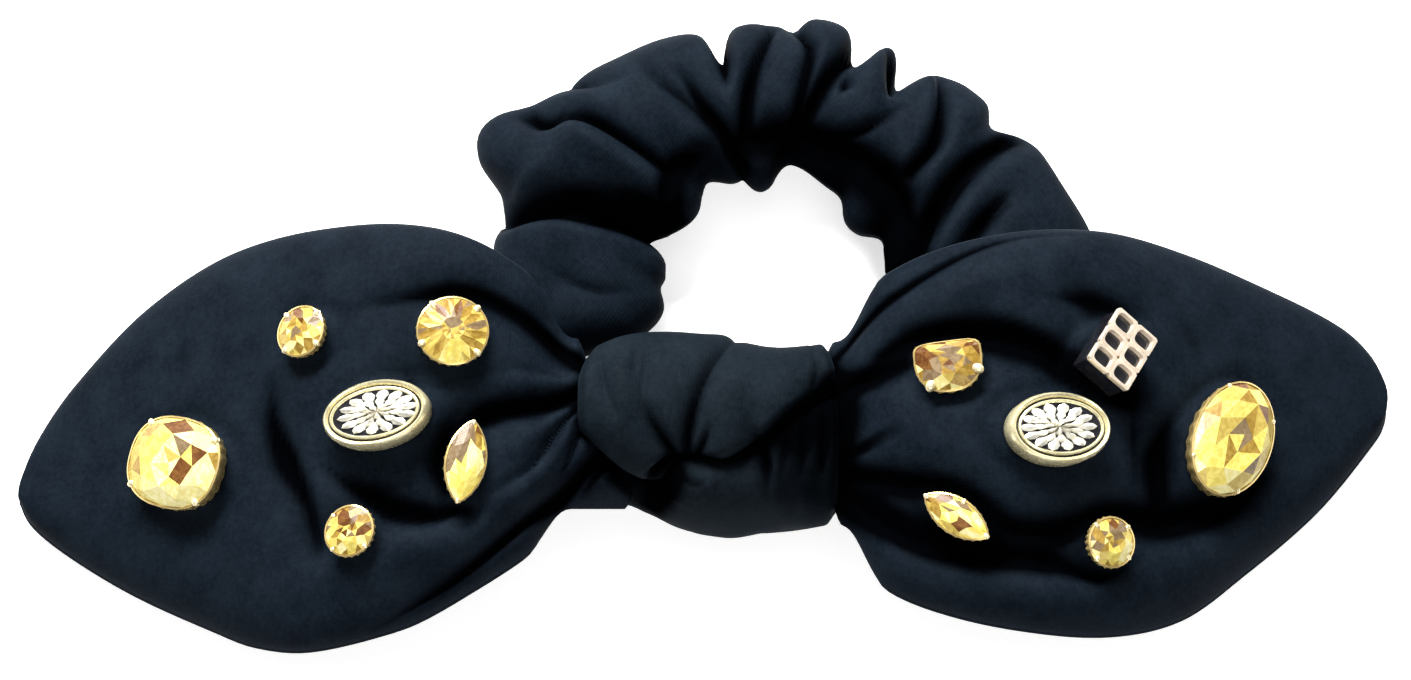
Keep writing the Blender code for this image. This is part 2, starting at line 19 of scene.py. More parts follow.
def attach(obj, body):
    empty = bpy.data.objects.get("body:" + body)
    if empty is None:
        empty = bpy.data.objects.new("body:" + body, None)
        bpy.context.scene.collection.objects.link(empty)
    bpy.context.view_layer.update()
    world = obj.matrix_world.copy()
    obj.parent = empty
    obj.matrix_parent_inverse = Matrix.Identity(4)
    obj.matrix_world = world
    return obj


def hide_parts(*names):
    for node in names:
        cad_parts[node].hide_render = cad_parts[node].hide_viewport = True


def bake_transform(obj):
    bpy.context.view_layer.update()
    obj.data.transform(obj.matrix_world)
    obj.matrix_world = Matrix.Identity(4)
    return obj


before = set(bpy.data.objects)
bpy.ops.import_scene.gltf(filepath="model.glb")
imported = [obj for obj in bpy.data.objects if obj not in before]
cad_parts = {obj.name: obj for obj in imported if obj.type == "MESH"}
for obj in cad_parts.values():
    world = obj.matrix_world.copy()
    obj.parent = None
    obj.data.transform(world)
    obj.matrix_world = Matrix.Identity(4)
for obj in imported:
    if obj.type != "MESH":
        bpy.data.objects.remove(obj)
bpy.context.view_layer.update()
MM = 0.001
STONE_PROUD = 0.0005      # the visual stones fill their cups, a little larger than the CAD's
CROWN_SHARE = 0.30        # a stone's crown height over its half width
RIM_WALL = 0.00022        # how far a cup's rim stands outside its stone
BEAD_FIELD_Z = 0.0029     # height of an oval bead's black field
THREAD_R = 0.00022
LOWEST_Z = 0.0003         # no fabric goes lower, because it lies on the floor
WRAP_FROM, WRAP_TO = -62, 242    # the ends of the knot's wrap, in degrees round the knot's axis
BAND_FROM, BAND_TO = 224, 316    # the back band overlaps both ends of the wrap
WRAP_TURN = 14                   # the last degrees of the wrap turn in under the band

# ---------------- dimensions: those of part.py, with outlines drawn a little closer to the photo

CLEAR = 0.0003            # gap between a jewel and the fabric under it
SEWN_RIM = 0.0009         # half the gap between a wing's front and back panels at their edge
WING_TIP_X = 0.0892
NECK_X = 0.0168           # where a wing starts, at the knot's end
HINGE_X = 0.0210          # a wing's fold axis, and the middle of its round neck
HINGE_R = HINGE_X - NECK_X
KNOT_HALF_X = 0.0162
KNOT_Y = 0.0003
KNOT_Z = 0.0139
KNOT_HALF_Z = 0.0138
RING_AXIS_Y = 0.0015
RING_AXIS_Z = 0.0074
RING_NECK_R = 0.0046
RING_HALF_H = 0.0080
SLEEVE_LEAST_R = 0.0042   # no fold of the sleeve goes deeper than this, because of the elastic

# The outlines of the wings' edges in plan: (distance from the middle, y).
LEFT_TOP = [(0.0165, 0.0122), (0.0220, 0.0192), (0.0330, 0.0247), (0.0490, 0.0260), (0.0620, 0.0243),
            (0.0730, 0.0184), (0.0820, 0.0094), (0.0868, 0.0024), (0.0888, -0.0026), (0.0892, -0.0060)]
LEFT_BOTTOM = [(0.0165, -0.0100), (0.0220, -0.0166), (0.0330, -0.0242), (0.0400, -0.0270),
               (0.0490, -0.0284), (0.0560, -0.0273), (0.0620, -0.0247), (0.0730, -0.0192),
               (0.0820, -0.0136), (0.0872, -0.0094), (0.0892, -0.0060)]
RIGHT_TOP = [(0.0165, 0.0126), (0.0220, 0.0188), (0.0330, 0.0232), (0.0500, 0.0259), (0.0630, 0.0244),
             (0.0750, 0.0207), (0.0830, 0.0172), (0.0870, 0.0138), (0.0888, 0.0104), (0.0892, 0.0074)]
RIGHT_BOTTOM = [(0.0165, -0.0122), (0.0220, -0.0206), (0.0330, -0.0253), (0.0470, -0.0267),
                (0.0590, -0.0239), (0.0690, -0.0166), (0.0790, -0.0079), (0.0866, 0.0010),
                (0.0886, 0.0042), (0.0892, 0.0074)]
# Height of the edge plane, and how far the front and back panels stand off it.
WING_CREST = [(0.0165, 0.0198), (0.0210, 0.0198), (0.0300, 0.0218), (0.0400, 0.0214), (0.0500, 0.0177),
              (0.0600, 0.0127), (0.0700, 0.0080), (0.0800, 0.0045), (0.0892, 0.0022)]
FRONT_PUFF = [(0.0210, 0.0042), (0.0340, 0.0056), (0.0600, 0.0052), (0.0780, 0.0036), (0.0892, 0.0012)]
BACK_PUFF = [(0.0210, 0.0042), (0.0280, 0.0022), (0.0420, 0.0030), (0.0620, 0.0040), (0.0780, 0.0026),
             (0.0892, 0.0010)]
# The knot's upper and lower outline in plan.
KNOT_TOP = [(-17, 11.2), (-12, 12.6), (-6, 13.3), (0, 13.0), (3, 12.8), (5, 11.8), (8, 11.3),
            (12, 11.5), (17, 12.6)]
KNOT_LOW = [(-17, -8.6), (-11, -9.4), (-7, -10.7), (-3, -12.0), (3, -12.9), (8, -12.6),
            (12, -12.2), (17, -11.6)]
# How far the sleeve's outline stands from its middle line: (place along the sleeve, millimetres).
SLEEVE_OUTER = [(0, 4.6), (0.08, 6.8), (0.14, 7.0), (0.18, 7.8), (0.22, 9.0), (0.246, 10.6), (0.264, 15.0),
                (0.280, 16.6), (0.302, 13.0), (0.33, 11.6), (0.36, 11.2), (0.40, 11.4), (0.425, 10.6),
                (0.438, 7.2), (0.45, 10.2), (0.48, 10.6), (0.492, 9.8), (0.505, 12.0), (0.528, 11.8),
                (0.545, 7.6), (0.56, 11.8), (0.572, 11.4), (0.585, 7.4), (0.605, 12.0), (0.645, 12.4),
                (0.662, 10.0), (0.68, 12.2), (0.72, 12.6), (0.76, 14.2), (0.80, 12.8), (0.88, 9.0),
                (1, 4.6)]
SLEEVE_INNER = [(0, 4.6), (0.08, 5.8), (0.12, 7.4), (0.14, 9.6), (0.162, 14.0), (0.18, 15.4), (0.20, 14.2),
                (0.22, 14.2), (0.245, 12.6), (0.27, 13.6), (0.33, 13.6), (0.36, 12.8), (0.38, 11.2),
                (0.40, 9.8), (0.43, 11.2), (0.46, 12.6), (0.485, 12.0), (0.51, 9.4), (0.56, 9.8),
                (0.585, 10.3), (0.605, 12.5), (0.63, 13.0), (0.66, 11.9), (0.69, 12.8), (0.74, 13.6),
                (0.79, 12.6), (0.84, 10.0), (0.90, 8.0), (1, 4.6)]
RING_LINE = [(-0.0172, RING_AXIS_Y), (-0.0218, 0.0042), (-0.0243, 0.0115), (-0.0208, 0.0200),
             (-0.0183, 0.0280), (-0.0142, 0.0370), (-0.0040, 0.0443), (0.0095, 0.0466),
             (0.0218, 0.0425), (0.0318, 0.0350), (0.0367, 0.0260), (0.0358, 0.0162),
             (0.0302, 0.0075), (0.0238, 0.0028), (0.0172, RING_AXIS_Y)]

# ---------------- the folds, read off the photograph

# D, a dark-gap stroke, moves nothing: it only paints shade into the fabric's colour over unlit gaps
# between layers
V, R, D = "valley", "ridge", "dark gap"
ROLL_REACH = 3.0          # a valley's round slopes reach this many widths, like two rolls that meet
FOLD_GAIN = 1.6           # makes every valley deeper than its stroke says
LEFT_FOLDS = [
    # over the neck stone, back into the knot
    (V, 1.7, (0.2, 1.9, 3.0), [(-46, 13), (-37, 14.5), (-30, 15.3), (-24, 13.3), (-16, 8)]),
    (V, 2.2, (0.0, 1.2, 0.2), [(-37, 8), (-36.4, 3.6), (-33, 1.0)]),
    (V, 2.4, (0.0, 1.1, 0.4), [(-46, -7.4), (-40, -9.6), (-35, -8.6)]),
    # the thin pleat above the middle one
    (V, 0.7, (0.1, 0.4, 0.8), [(-30, 5), (-24.5, 5.6), (-17, 5.2)]),
    # the main valley: from the knot, behind the marquise, under the bead's pad
    (V, 1.5, (3.2, 2.8, 2.2), [(-16, 3.2), (-20, 1.8), (-25, 0.6), (-30, -2), (-32.5, -6), (-31.5, -10)]),
    (V, 1.7, (2.4, 2.4, 0.8), [(-29, -12.5), (-34, -13.3), (-38, -12.5), (-43, -9.5), (-48.5, -5.5)]),
    (V, 0.9, (2.2, 1.4, 0.5), [(-16, 1.4), (-19, -2.6), (-22, -7), (-28, -11.8)]),
    (V, 0.8, (2.2, 1.3, 0.2), [(-15.5, -1), (-17, -5), (-19.5, -9.5)]),
    (V, 0.8, (2.4, 1.4, 0.2), [(-11.4, -5), (-13.6, -7), (-16, -9.6)]),
    # left of the pad
    (V, (1.5, 2.0), (0.2, 2.4, 1.0), [(-54.5, 7), (-54, 0), (-51.5, -6), (-49.0, -11), (-47.4, -16.5)]),
    # the lower edge of the front layer
    (V, (0.6, 1.3), (2.4, 2.2, 0.6),
     [(-12.5, -4.5), (-20.8, -12.1), (-29.2, -19.8), (-35, -23.7), (-40.5, -26.6)]),
    # soft creases across the outer half
    (V, 2.2, (0.1, 0.5, 0.1), [(-66.5, 16), (-66.7, 10), (-67.5, 4)]),
    (V, 3.0, (0.0, 0.5, 0.1), [(-62, -8), (-63, -14), (-60, -20)]),
    (V, 0.5, (0.1, 0.5, 0.6), [(-26, 20.5), (-20, 16.8), (-14, 11.5)]),
    # painted shade: the unlit gaps under the knot's left end and behind the marquise
    (D, 2.0, (0.4, 1.0, 0.9), [(-14.0, -5.0), (-10.4, -7.4), (-8.4, -8.0)]),
    (D, 1.6, (0.9, 1.0, 0.7), [(-8.0, -7.0), (-8.2, -9.0), (-9.0, -11)]),
    (D, 2.6, (0.0, 0.7, 0.5), [(-36, -8.6), (-31.5, -9.6), (-30.4, -5)]),
    # rolls and pads
    (R, 3.0, (0.8, 1.2, 0.2), [(-17.5, -2), (-24, -10), (-34, -16.3), (-49, -21)]),
    (R, 5.5, (0.8, 0.9, 0.5), [(-45, -2), (-40, -1), (-35, 0)]),
    (R, 3.0, (0.0, 0.8, 0.8), [(-45, 19.5), (-30, 19.6), (-22, 15), (-16, 10.5)]),
    (R, 1.8, (0.8, 0.5, 0.0), [(-17, 4.3), (-23, 3.2), (-30, 2.5)]),
    (R, 1.6, (0.8, 0.7, 0.1), [(-17, 0.0), (-22, -3.6), (-27, -7)]),
]
RIGHT_FOLDS = [
    # the seam of the rolled upper edge
    (V, 0.7, (1.8, 1.5, 0.2), [(15.4, 7.2), (20.5, 13), (28, 18), (37, 22.4), (48, 24.4)]),
    # the dark hollow where the wing goes into the knot
    (V, 2.4, (1.6, 3.0, 2.2), [(16.0, 7.5), (17.4, 2.5), (17.2, -3), (16.4, -8)]),
    # from the knot to the half moon, and over it to the charm
    (V, 2.0, (2.8, 2.6, 1.6), [(15.5, 3.4), (19, 4.8), (25, 6.4)]),
    (V, 2.5, (1.6, 3.0, 2.6), [(22, 7.6), (27, 9.8), (34, 9.8), (41, 8.6), (46, 5.6), (52.5, 3.2)]),
    (V, 2.2, (0.1, 1.6, 0.5), [(40.5, 14.6), (47, 15.0), (56.5, 13.8)]),
    # the short notch in the pad
    (V, 1.0, (2.4, 1.8, 0.3), [(16, -5), (20, -3.6), (23.8, -2.1)]),
    # below the pad, from the knot to the big oval
    (V, 2.0, (2.8, 2.4, 2.0), [(16, -6.5), (24, -8.6), (31, -10.5), (37, -14.8), (43.5, -15.2)]),
    (V, 2.3, (1.8, 2.8, 1.0), [(43.5, -15), (50.5, -12.4), (57, -12.4), (65.8, -9.5), (71.5, -4.7)]),
    (V, 2.5, (2.6, 3.0, 2.2), [(17.5, -8.5), (22.7, -13.8), (30, -17.2), (41.6, -18.6)]),
    (V, 2.0, (2.0, 2.0, 0.3), [(41.6, -18.6), (48.3, -20.0), (54.5, -17.2)]),
    # soft folds between the pad and the big oval
    (V, 1.5, (0.5, 1.2, 0.7), [(53.2, 3.2), (53.5, -2), (53.6, -7.5)]),
    (V, 1.8, (0.1, 0.8, 0.2), [(60.3, 14.2), (62.4, 10.9), (62.9, 7.5)]),
    (V, 2.2, (0.7, 2.4, 1.8), [(58.8, 2), (56.4, -5), (57.0, -11.5)]),
    # the seam near the lower outline
    (V, 0.5, (0.8, 0.6, 0.1), [(16.8, -14.3), (20.2, -18.4), (24.3, -21.1), (30, -23.7)]),
    # painted shade of the unlit gaps: the neck, the notch, below the pad and above it
    (D, 4.2, (0.9, 1.0, 0.8), [(15.6, 5.6), (17.0, 2), (16.6, -3), (16.4, -7.6)]),
    (D, 2.2, (1.0, 0.9, 0.6), [(17, 3.6), (21.5, 5.0), (26, 7.4)]),
    (D, 1.3, (1.0, 1.0, 0.3), [(16, -5), (20, -3.6), (23.8, -2.1)]),
    (D, 2.8, (0.9, 1.0, 0.7), [(17, -8.4), (23, -13.0), (30, -16), (41, -17.4)]),
    (D, 2.2, (0.6, 0.9, 0.8), [(26, 8.8), (34, 9.6), (41, 8.2), (47, 5)]),
    (D, 2.4, (0.6, 0.9, 0.4), [(44, -17.0), (52, -13.4), (60, -11.4), (68, -8.0)]),
    # rolls and pads
    (R, 6.0, (0.6, 1.3, 0.6), [(20, -1.5), (29, -1), (42, -2.4), (49, -2)]),
    (R, 3.5, (0.4, 0.9, 0.4), [(19, -15.5), (32, -22), (44, -23.3), (57, -20), (72, -12)]),
    (R, 2.2, (0.6, 0.9, 0.2), [(19.5, 8.3), (26, 13), (34, 16.8), (42, 18.5)]),
    (R, 1.4, (0.1, 0.6, 0.1), [(35, 12.8), (40.5, 11.7), (46.5, 8)]),
]
BACK_FOLDS = [
    (V, 1.1, (2.0, 1.2, 0.1), [(16, 6), (24, 10), (36, 15)]),
    (V, 1.1, (2.2, 1.4, 0.1), [(16, 2.5), (26, 3.6), (38, 4)]),
    (V, 1.1, (2.2, 1.4, 0.1), [(16, -1.5), (25, -4), (40, -8)]),
    (V, 1.1, (2.0, 1.2, 0.1), [(16, -5.5), (23, -11), (33, -17)]),
    (V, 2.5, (0.1, 1.0, 0.1), [(52, 12), (56, 2), (54, -10)]),
    (V, 2.5, (0.0, 0.6, 0.0), [(66, 8), (69, 1), (68, -7)]),
]
KNOT_FOLDS = [
    # pleats of the broad left band
    (V, 0.7, (0.3, 0.9, 0.3), [(-13.4, 9), (-12.9, 5.6), (-12.2, 2.3), (-11, -0.5)]),
    (V, 0.5, (0.2, 0.9, 0.2), [(-8.6, 9.5), (-8.9, 6), (-8.3, 3)]),
    (V, (0.9, 1.4), (0.3, 1.0, 2.0), [(-7.2, 9), (-7.7, 2.3), (-7, -0.6), (-5.6, -3), (-3.9, -5.5)]),
    (V, (0.7, 1.3), (0.4, 1.6, 2.0), [(4.6, 13), (0.8, 7), (-1.2, 1), (-2, -3.4), (-2.1, -5.2)]),
    (V, 0.7, (0.3, 1.4, 2.0), [(0.6, -1.8), (-0.2, -4.0), (-1, -5.6)]),
    # lower edge of the right band, over the tuck and then over the dark hollow
    (V, (0.6, 1.0), (3.0, 2.6, 2.2), [(-6.5, -7.4), (-4.5, -6.2), (-1, -6.1), (2.3, -6.5), (5, -5.2)]),
    (V, (0.5, 3.4), (1.8, 3.2, 3.6), [(4.4, -5.6), (7.9, -2.6), (11, 0.6), (15, 4.2), (17, 6)]),
    (V, (1.8, 0.5), (0.2, 0.8, 1.2), [(13.4, 9.4), (14.0, 6.4), (13.4, 4.0)]),
    (V, 1.6, (1.6, 2.2, 0.9), [(10.2, -1.0), (10.2, -4), (9.7, -7.6)]),
    (V, 1.7, (2.2, 2.4, 1.2), [(12.4, 1), (12.4, -3.5), (11.9, -7.8)]),
    (V, 2.0, (2.4, 2.6, 1.4), [(14.9, 2.6), (14.9, -3), (14.4, -7.5)]),
    # lower edge of the left band, over the wing's own pleats
    (V, (0.5, 3.2), (2.2, 2.8, 1.4),
     [(-17.4, -0.4), (-15.2, -3.4), (-12.5, -5.9), (-9.6, -7.7), (-7.4, -8.6)]),
    (V, 0.8, (1.2, 1.8, 2.6), [(-9.6, -7.7), (-7.0, -8.8), (-5.1, -8.6), (-3.6, -7.0)]),
    (V, 0.5, (0.7, 0.9, 0.4), [(-2.5, -8.1), (-1.6, -8.6), (-0.6, -8.5)]),
    # right of the tuck
    (V, (0.6, 1.6), (1.6, 2.4, 0.6), [(6.8, -3.6), (7.8, -7), (7.6, -10.6)]),
    (V, 0.6, (0.2, 0.9, 0.2), [(10.4, -4), (10.8, -6.8), (10.2, -9.4)]),
    # painted shade of the unlit gaps: the hollow on the right, where the pleats meet, and under the left
    # band
    (D, 4.8, (1.0, 1.0, 0.7), [(15.8, 3.4), (15.0, -2.0), (14.2, -8.2)]),
    (D, 2.8, (0.9, 1.0, 0.4), [(11.2, -1.0), (10.6, -5.0), (10.2, -9.4)]),
    (D, 1.4, (0.9, 1.0, 0.6), [(-5.2, -6.8), (-2.6, -6.1), (0.8, -6.3)]),
    (D, 2.3, (0.5, 1.0, 1.0), [(-11.6, -7.6), (-8.2, -9.6), (-5.4, -9.8), (-3.6, -7.6)]),
    (R, 2.6, (0.2, 0.8, 0.4), [(-10.5, 8), (-10.2, 1), (-8, -5.4)]),
    (R, 2.4, (0.3, 0.7, 0.6), [(5.5, 9), (3.4, 2), (3, -3)]),
    (R, 2.6, (0.2, 0.9, 0.3), [(-2, -10), (3.5, -9.4), (7, -9.2)]),
]
RING_FOLDS = [
    # the beak on the far left, and the lobe under it
    (V, 1.2, (2.4, 3.0, 2.6), [(-24, 44), (-21.5, 42.4), (-16.4, 42.9), (-10.4, 39.2), (-4.5, 34.8)]),
    (V, (3.4, 0.9), (2.6, 4.4, 4.4), [(-26.5, 29.4), (-19, 29.6), (-12.4, 28.4), (-5, 26.5)]),
    (R, 1.3, (0.8, 1.2, 0.6), [(-18.5, 38.6), (-21.6, 35.5), (-25.5, 32.2)]),
    (R, 2.6, (1.2, 1.6, 0.8), [(-17.5, 41), (-10.4, 36.6), (-4.6, 32)]),
    # the upper left swags
    (V, 1.3, (1.4, 0.8, 0.4), [(-18.5, 49), (-14.5, 48), (-10, 49)]),
    (V, 1.3, (0.6, 1.4, 1.2), [(-8.4, 50.6), (-6.1, 47.6), (-2.8, 44.7), (0.5, 41.2)]),
    (V, 1.2, (1.0, 2.8, 3.2), [(-3.2, 49.2), (-0.1, 43.4), (3.1, 38.8), (5.3, 34.6)]),
    # slots across the top
    (V, 0.9, (3.2, 2.6, 0.4), [(1.9, 55.5), (2.2, 51.5), (2.8, 46)]),
    (V, 1.1, (1.6, 2.8, 3.2), [(8.6, 56), (6.6, 50.1), (5.6, 45), (5.2, 37.5)]),
    (V, 0.9, (2.2, 2.2, 3.0), [(12.8, 55.6), (13.9, 52.4), (13.2, 48), (11, 39)]),
    (V, 1.2, (2.6, 3.0, 3.2), [(19.5, 53), (16.2, 48.3), (14.4, 45), (12, 40)]),
    (V, 0.9, (0.4, 1.8, 0.4), [(19.2, 48.6), (17.4, 45.2)]),
    (V, 0.9, (3.0, 2.6, 0.8), [(25.3, 52.6), (24.9, 50), (24.4, 46)]),
    (V, 1.1, (0.6, 2.0, 2.6), [(25.5, 43.6), (19.9, 40.2), (14.5, 39)]),
    (V, 1.1, (1.2, 2.6, 2.6), [(31.7, 49.5), (31.1, 43.8), (29.8, 39), (26, 34.5)]),
    (R, 1.0, (0.8, 0.8, 0.2), [(29.8, 48.6), (29.6, 44), (28.4, 40)]),
    # the right arm
    (V, 1.5, (3.0, 3.2, 3.4), [(40.5, 41), (34.5, 36.3), (29.6, 30.2), (26, 24.4), (24, 20)]),
    (V, 0.8, (0.6, 1.6, 0.8), [(38.3, 37.8), (32.8, 32.2), (29.2, 26)]),
    (V, 1.3, (0.8, 2.6, 1.8), [(39.4, 31.6), (35.9, 28.2), (31.8, 23.6)]),
    # the inner side, tucked under
    (V, 3.0, (1.4, 4.0, 2.4), [(3.5, 37.4), (9.1, 38.8), (13.9, 38.0), (18.5, 36)]),
    (V, 3.4, (1.8, 4.2, 2.6), [(17.8, 37.4), (22, 33.4), (24.2, 28)]),
    (V, 2.4, (1.6, 3.2, 0.8), [(-5.5, 32), (-2.6, 35.4), (0.6, 38)]),
    # painted shade of the unlit gaps along the inner side and above the left arm
    (D, 5.2, (0.7, 1.0, 1.0),
     [(2.4, 38.4), (9.1, 38.4), (15, 37.4), (20.6, 33.6), (24.0, 28.6), (25.4, 23)]),
    (D, 3.8, (0.5, 1.0, 1.0), [(-17, 31.0), (-10, 30.6), (-4, 29.2)]),
    (D, 3.4, (1.0, 1.0, 0.7), [(-4.6, 29.6), (-3.6, 34.0), (0.2, 37.6)]),
    (D, 1.8, (0.6, 1.0, 0.8), [(38.6, 31.0), (35.4, 27.6), (31.6, 23.2)]),
    # the left arm
    (V, 1.2, (0.3, 1.4, 0.3), [(-21, 22), (-14, 19), (-9, 19.5)]),
]


# ---------------- small tools

def smooth_line(points, per_span=8):
    """A dense Catmull-Rom curve through the given points, as an array."""
    knots = np.array(points, dtype=float)
    ends = np.vstack([2 * knots[0] - knots[1], knots, 2 * knots[-1] - knots[-2]])
    f = np.arange(per_span)[:, None] / per_span
    curve = []
    for a, b, c, d in zip(ends[:-3], ends[1:-2], ends[2:-1], ends[3:]):
        curve.append(0.5 * (2 * b + (c - a) * f + (2 * a - 5 * b + 4 * c - d) * f ** 2
                            + (3 * b - a - 3 * c + d) * f ** 3))
    return np.vstack(curve + [knots[-1:]])


def profile(points):
    """A smooth function of one variable through (x, y) points."""
    line = smooth_line(points, per_span=12)

    def at(x):
        return np.interp(x, line[:, 0], line[:, 1])
    return at


def smoothstep(low, high, x):
    """0 below low, 1 above high."""
    f = np.clip((x - low) / (high - low), 0, 1)
    return f * f * (3 - 2 * f)


def nearest(points, line):
    """For each plan point: distance to a line, place along it (0-1), and how far left it lies."""
    a, span = line[:-1], np.diff(line, axis=0)
    length = np.linalg.norm(span, axis=1)
    start = np.concatenate([[0], np.cumsum(length)[:-1]])
    rel = points[:, None, :] - a[None]
    f = np.clip((rel * span).sum(2) / length ** 2, 0, 1)
    dist = np.linalg.norm(rel - f[..., None] * span, axis=2)
    k = dist.argmin(1)
    rows = np.arange(len(points))
    rel = rel[rows, k]
    leftward = (span[k, 0] * rel[:, 1] - span[k, 1] * rel[:, 0]) / length[k]
    return dist[rows, k], (start[k] + f[rows, k] * length[k]) / length.sum(), leftward


def fold_shift(points, strokes):
    """How far the folds push a surface out at each plan point. Crossing valleys merge."""
    valleys = np.zeros(len(points))
    ridges = np.zeros(len(points))
    plan = points / MM
    for kind, width, depths, places in strokes:
        if kind == D:
            continue
        dist, along, leftward = nearest(plan, smooth_line(places))
        if isinstance(width, tuple):
            width = width[1] + (width[0] - width[1]) * smoothstep(-0.3, 0.3, leftward)
        r = dist / width
        size = np.interp(along, [0, 0.5, 1], depths)
        if kind == V:
            near = np.clip(1 - np.sqrt(r * r + 0.01) / ROLL_REACH, 0, 1)
            valleys += (size * (1 - np.sqrt(1 - near * near))) ** 3
        else:
            ridges += (size * np.exp(-r * r)) ** 2
    return (np.sqrt(ridges) - FOLD_GAIN * np.cbrt(valleys)) * MM


def painted_gap_shade(points, strokes):
    """0 to 1: painted shade of the unlit gaps between layers, by how deep each plan point lies in them."""
    # painted shade only: these strokes darken the colour and move no surface
    dark = np.zeros(len(points))
    for kind, width, sizes, places in strokes:
        if kind == D:
            dist, along, _ = nearest(points / MM, smooth_line(places))
            size = np.interp(along, [0, 0.5, 1], sizes)
            dark = np.maximum(dark, size * (1 - smoothstep(0.35, 1.0, dist / width)))
    return dark


def waves(points, seed, longest):
    """Gentle seeded unevenness, about -1 to 1, from plane waves no longer than the given length."""
    rng = np.random.default_rng(seed)
    total = np.zeros(len(points))
    weight = 0.0
    for _ in range(14):
        way = rng.normal(size=points.shape[1])
        way /= np.linalg.norm(way)
        size = longest * rng.uniform(0.35, 1.0)
        total += size * np.sin(points @ way * (2 * math.pi / size) + rng.uniform(0, 2 * math.pi))
        weight += size
    return total / weight * 2.2


def add_mesh(name, verts, faces, surface, smooth=True):
    """A new object in world space."""
    mesh = bpy.data.meshes.new(name)
    mesh.from_pydata([tuple(v) for v in verts], [], faces)
    mesh.materials.append(surface)
    if smooth:
        mesh.shade_smooth()
    made = bpy.data.objects.new(name, mesh)
    bpy.context.scene.collection.objects.link(made)
    return made


def paint_fold_shade(made, shift, full_depth, gaps):
    """Store painted shade, 0 to 1, from how deep in a fold or gap each point lies, for the fabric's
    colour.
    """
    # painted shade: grows with a valley's depth up to full_depth, or takes the gaps' painted shade where
    # that is more
    depth = np.maximum(smoothstep(0.12, 1.0, -shift / full_depth), gaps)
    stored = made.data.attributes.new("painted_fold_shade", "FLOAT", "POINT")
    stored.data.foreach_set("value", depth.astype(np.float32))


def add_built(name, builder, surfaces, place, smooth=None):
    """A new object from a finished bmesh; smooth is the angle, in degrees, of the edges kept sharp."""
    mesh = bpy.data.meshes.new(name)
    bmesh.ops.recalc_face_normals(builder, faces=builder.faces)
    builder.to_mesh(mesh)
    builder.free()
    for surface in surfaces:
        mesh.materials.append(surface)
    if smooth is not None:
        mesh.shade_smooth()
        mesh.set_sharp_from_angle(angle=math.radians(smooth))
    made = bpy.data.objects.new(name, mesh)
    bpy.context.scene.collection.objects.link(made)
    made.matrix_world = place
    return made


def grid_faces(rows, columns, flip=False, wrap=False):
    """Quads of a grid stored row by row; wrap joins the last column to the first."""
    faces = []
    for i in range(rows - 1):
        for j in range(columns if wrap else columns - 1):
            k = (j + 1) % columns
            quad = (i * columns + j, i * columns + k, (i + 1) * columns + k, (i + 1) * columns + j)
            faces.append(quad[::-1] if flip else quad)
    return faces


# ---------------- materials

class Graph:
    """A short way to write a material's nodes."""

    def __init__(self, name):
        self.material = bpy.data.materials.new(name)
        self.material.use_nodes = True
        self.tree = self.material.node_tree
        self.shader = self.tree.nodes["Principled BSDF"]

    def set(self, **values):
        """Uniform values straight on the shader's own sockets; underscores stand for spaces."""
        for key, value in values.items():
            self.shader.inputs[key.replace("_", " ")].default_value = value

    def node(self, kind, **settings):
        made = self.tree.nodes.new("ShaderNode" + kind)
        for key, value in settings.items():
            setattr(made, key, value)
        return made

    def link(self, out, socket):
        self.tree.links.new(out, socket)

    def feed(self, node, **values):
        """Constants or links into a node's inputs; underscores stand for spaces."""
        for key, value in values.items():
            socket = node.inputs[key.replace("_", " ")]
            if isinstance(value, bpy.types.NodeSocket):
                self.link(value, socket)
            else:
                socket.default_value = value
        return node

    def place(self):
        """Object coordinates, in metres."""
        return self.node("TexCoord").outputs["Object"]

    def noise(self, vector, scale, detail=3.0, roughness=0.55, distortion=0.0):
        made = self.node("TexNoise")
        self.feed(made, Vector=vector, Scale=scale, Detail=detail, Roughness=roughness,
                  Distortion=distortion)
        return made.outputs["Fac"]

    def ramp(self, factor, *stops):
        made = self.node("ValToRGB")
        self.link(factor, made.inputs["Fac"])
        marks = made.color_ramp.elements
        while len(marks) < len(stops):
            marks.new(0.5)
        for mark, (spot, colour) in zip(marks, stops):
            mark.position = spot
            mark.color = (*colour, 1.0)
        return made.outputs["Color"]

    def combine(self, made, *values):
        """Constants or links into a node's first inputs, and its first output."""
        for socket, value in zip(made.inputs, values):
            if isinstance(value, bpy.types.NodeSocket):
                self.link(value, socket)
            else:
                socket.default_value = value
        return made.outputs[0]

    def math(self, operation, a, b):
        return self.combine(self.node("Math", operation=operation), a, b)

    def mix(self, factor, a, b):
        return self.combine(self.node("MixRGB"), factor, a, b)

    def first_channel(self, colour):
        return self.combine(self.node("SeparateColor"), colour)

    def bump(self, height, distance, strength):
        made = self.node("Bump")
        self.feed(made, Height=height, Distance=distance, Strength=strength)
        return made.outputs["Normal"]


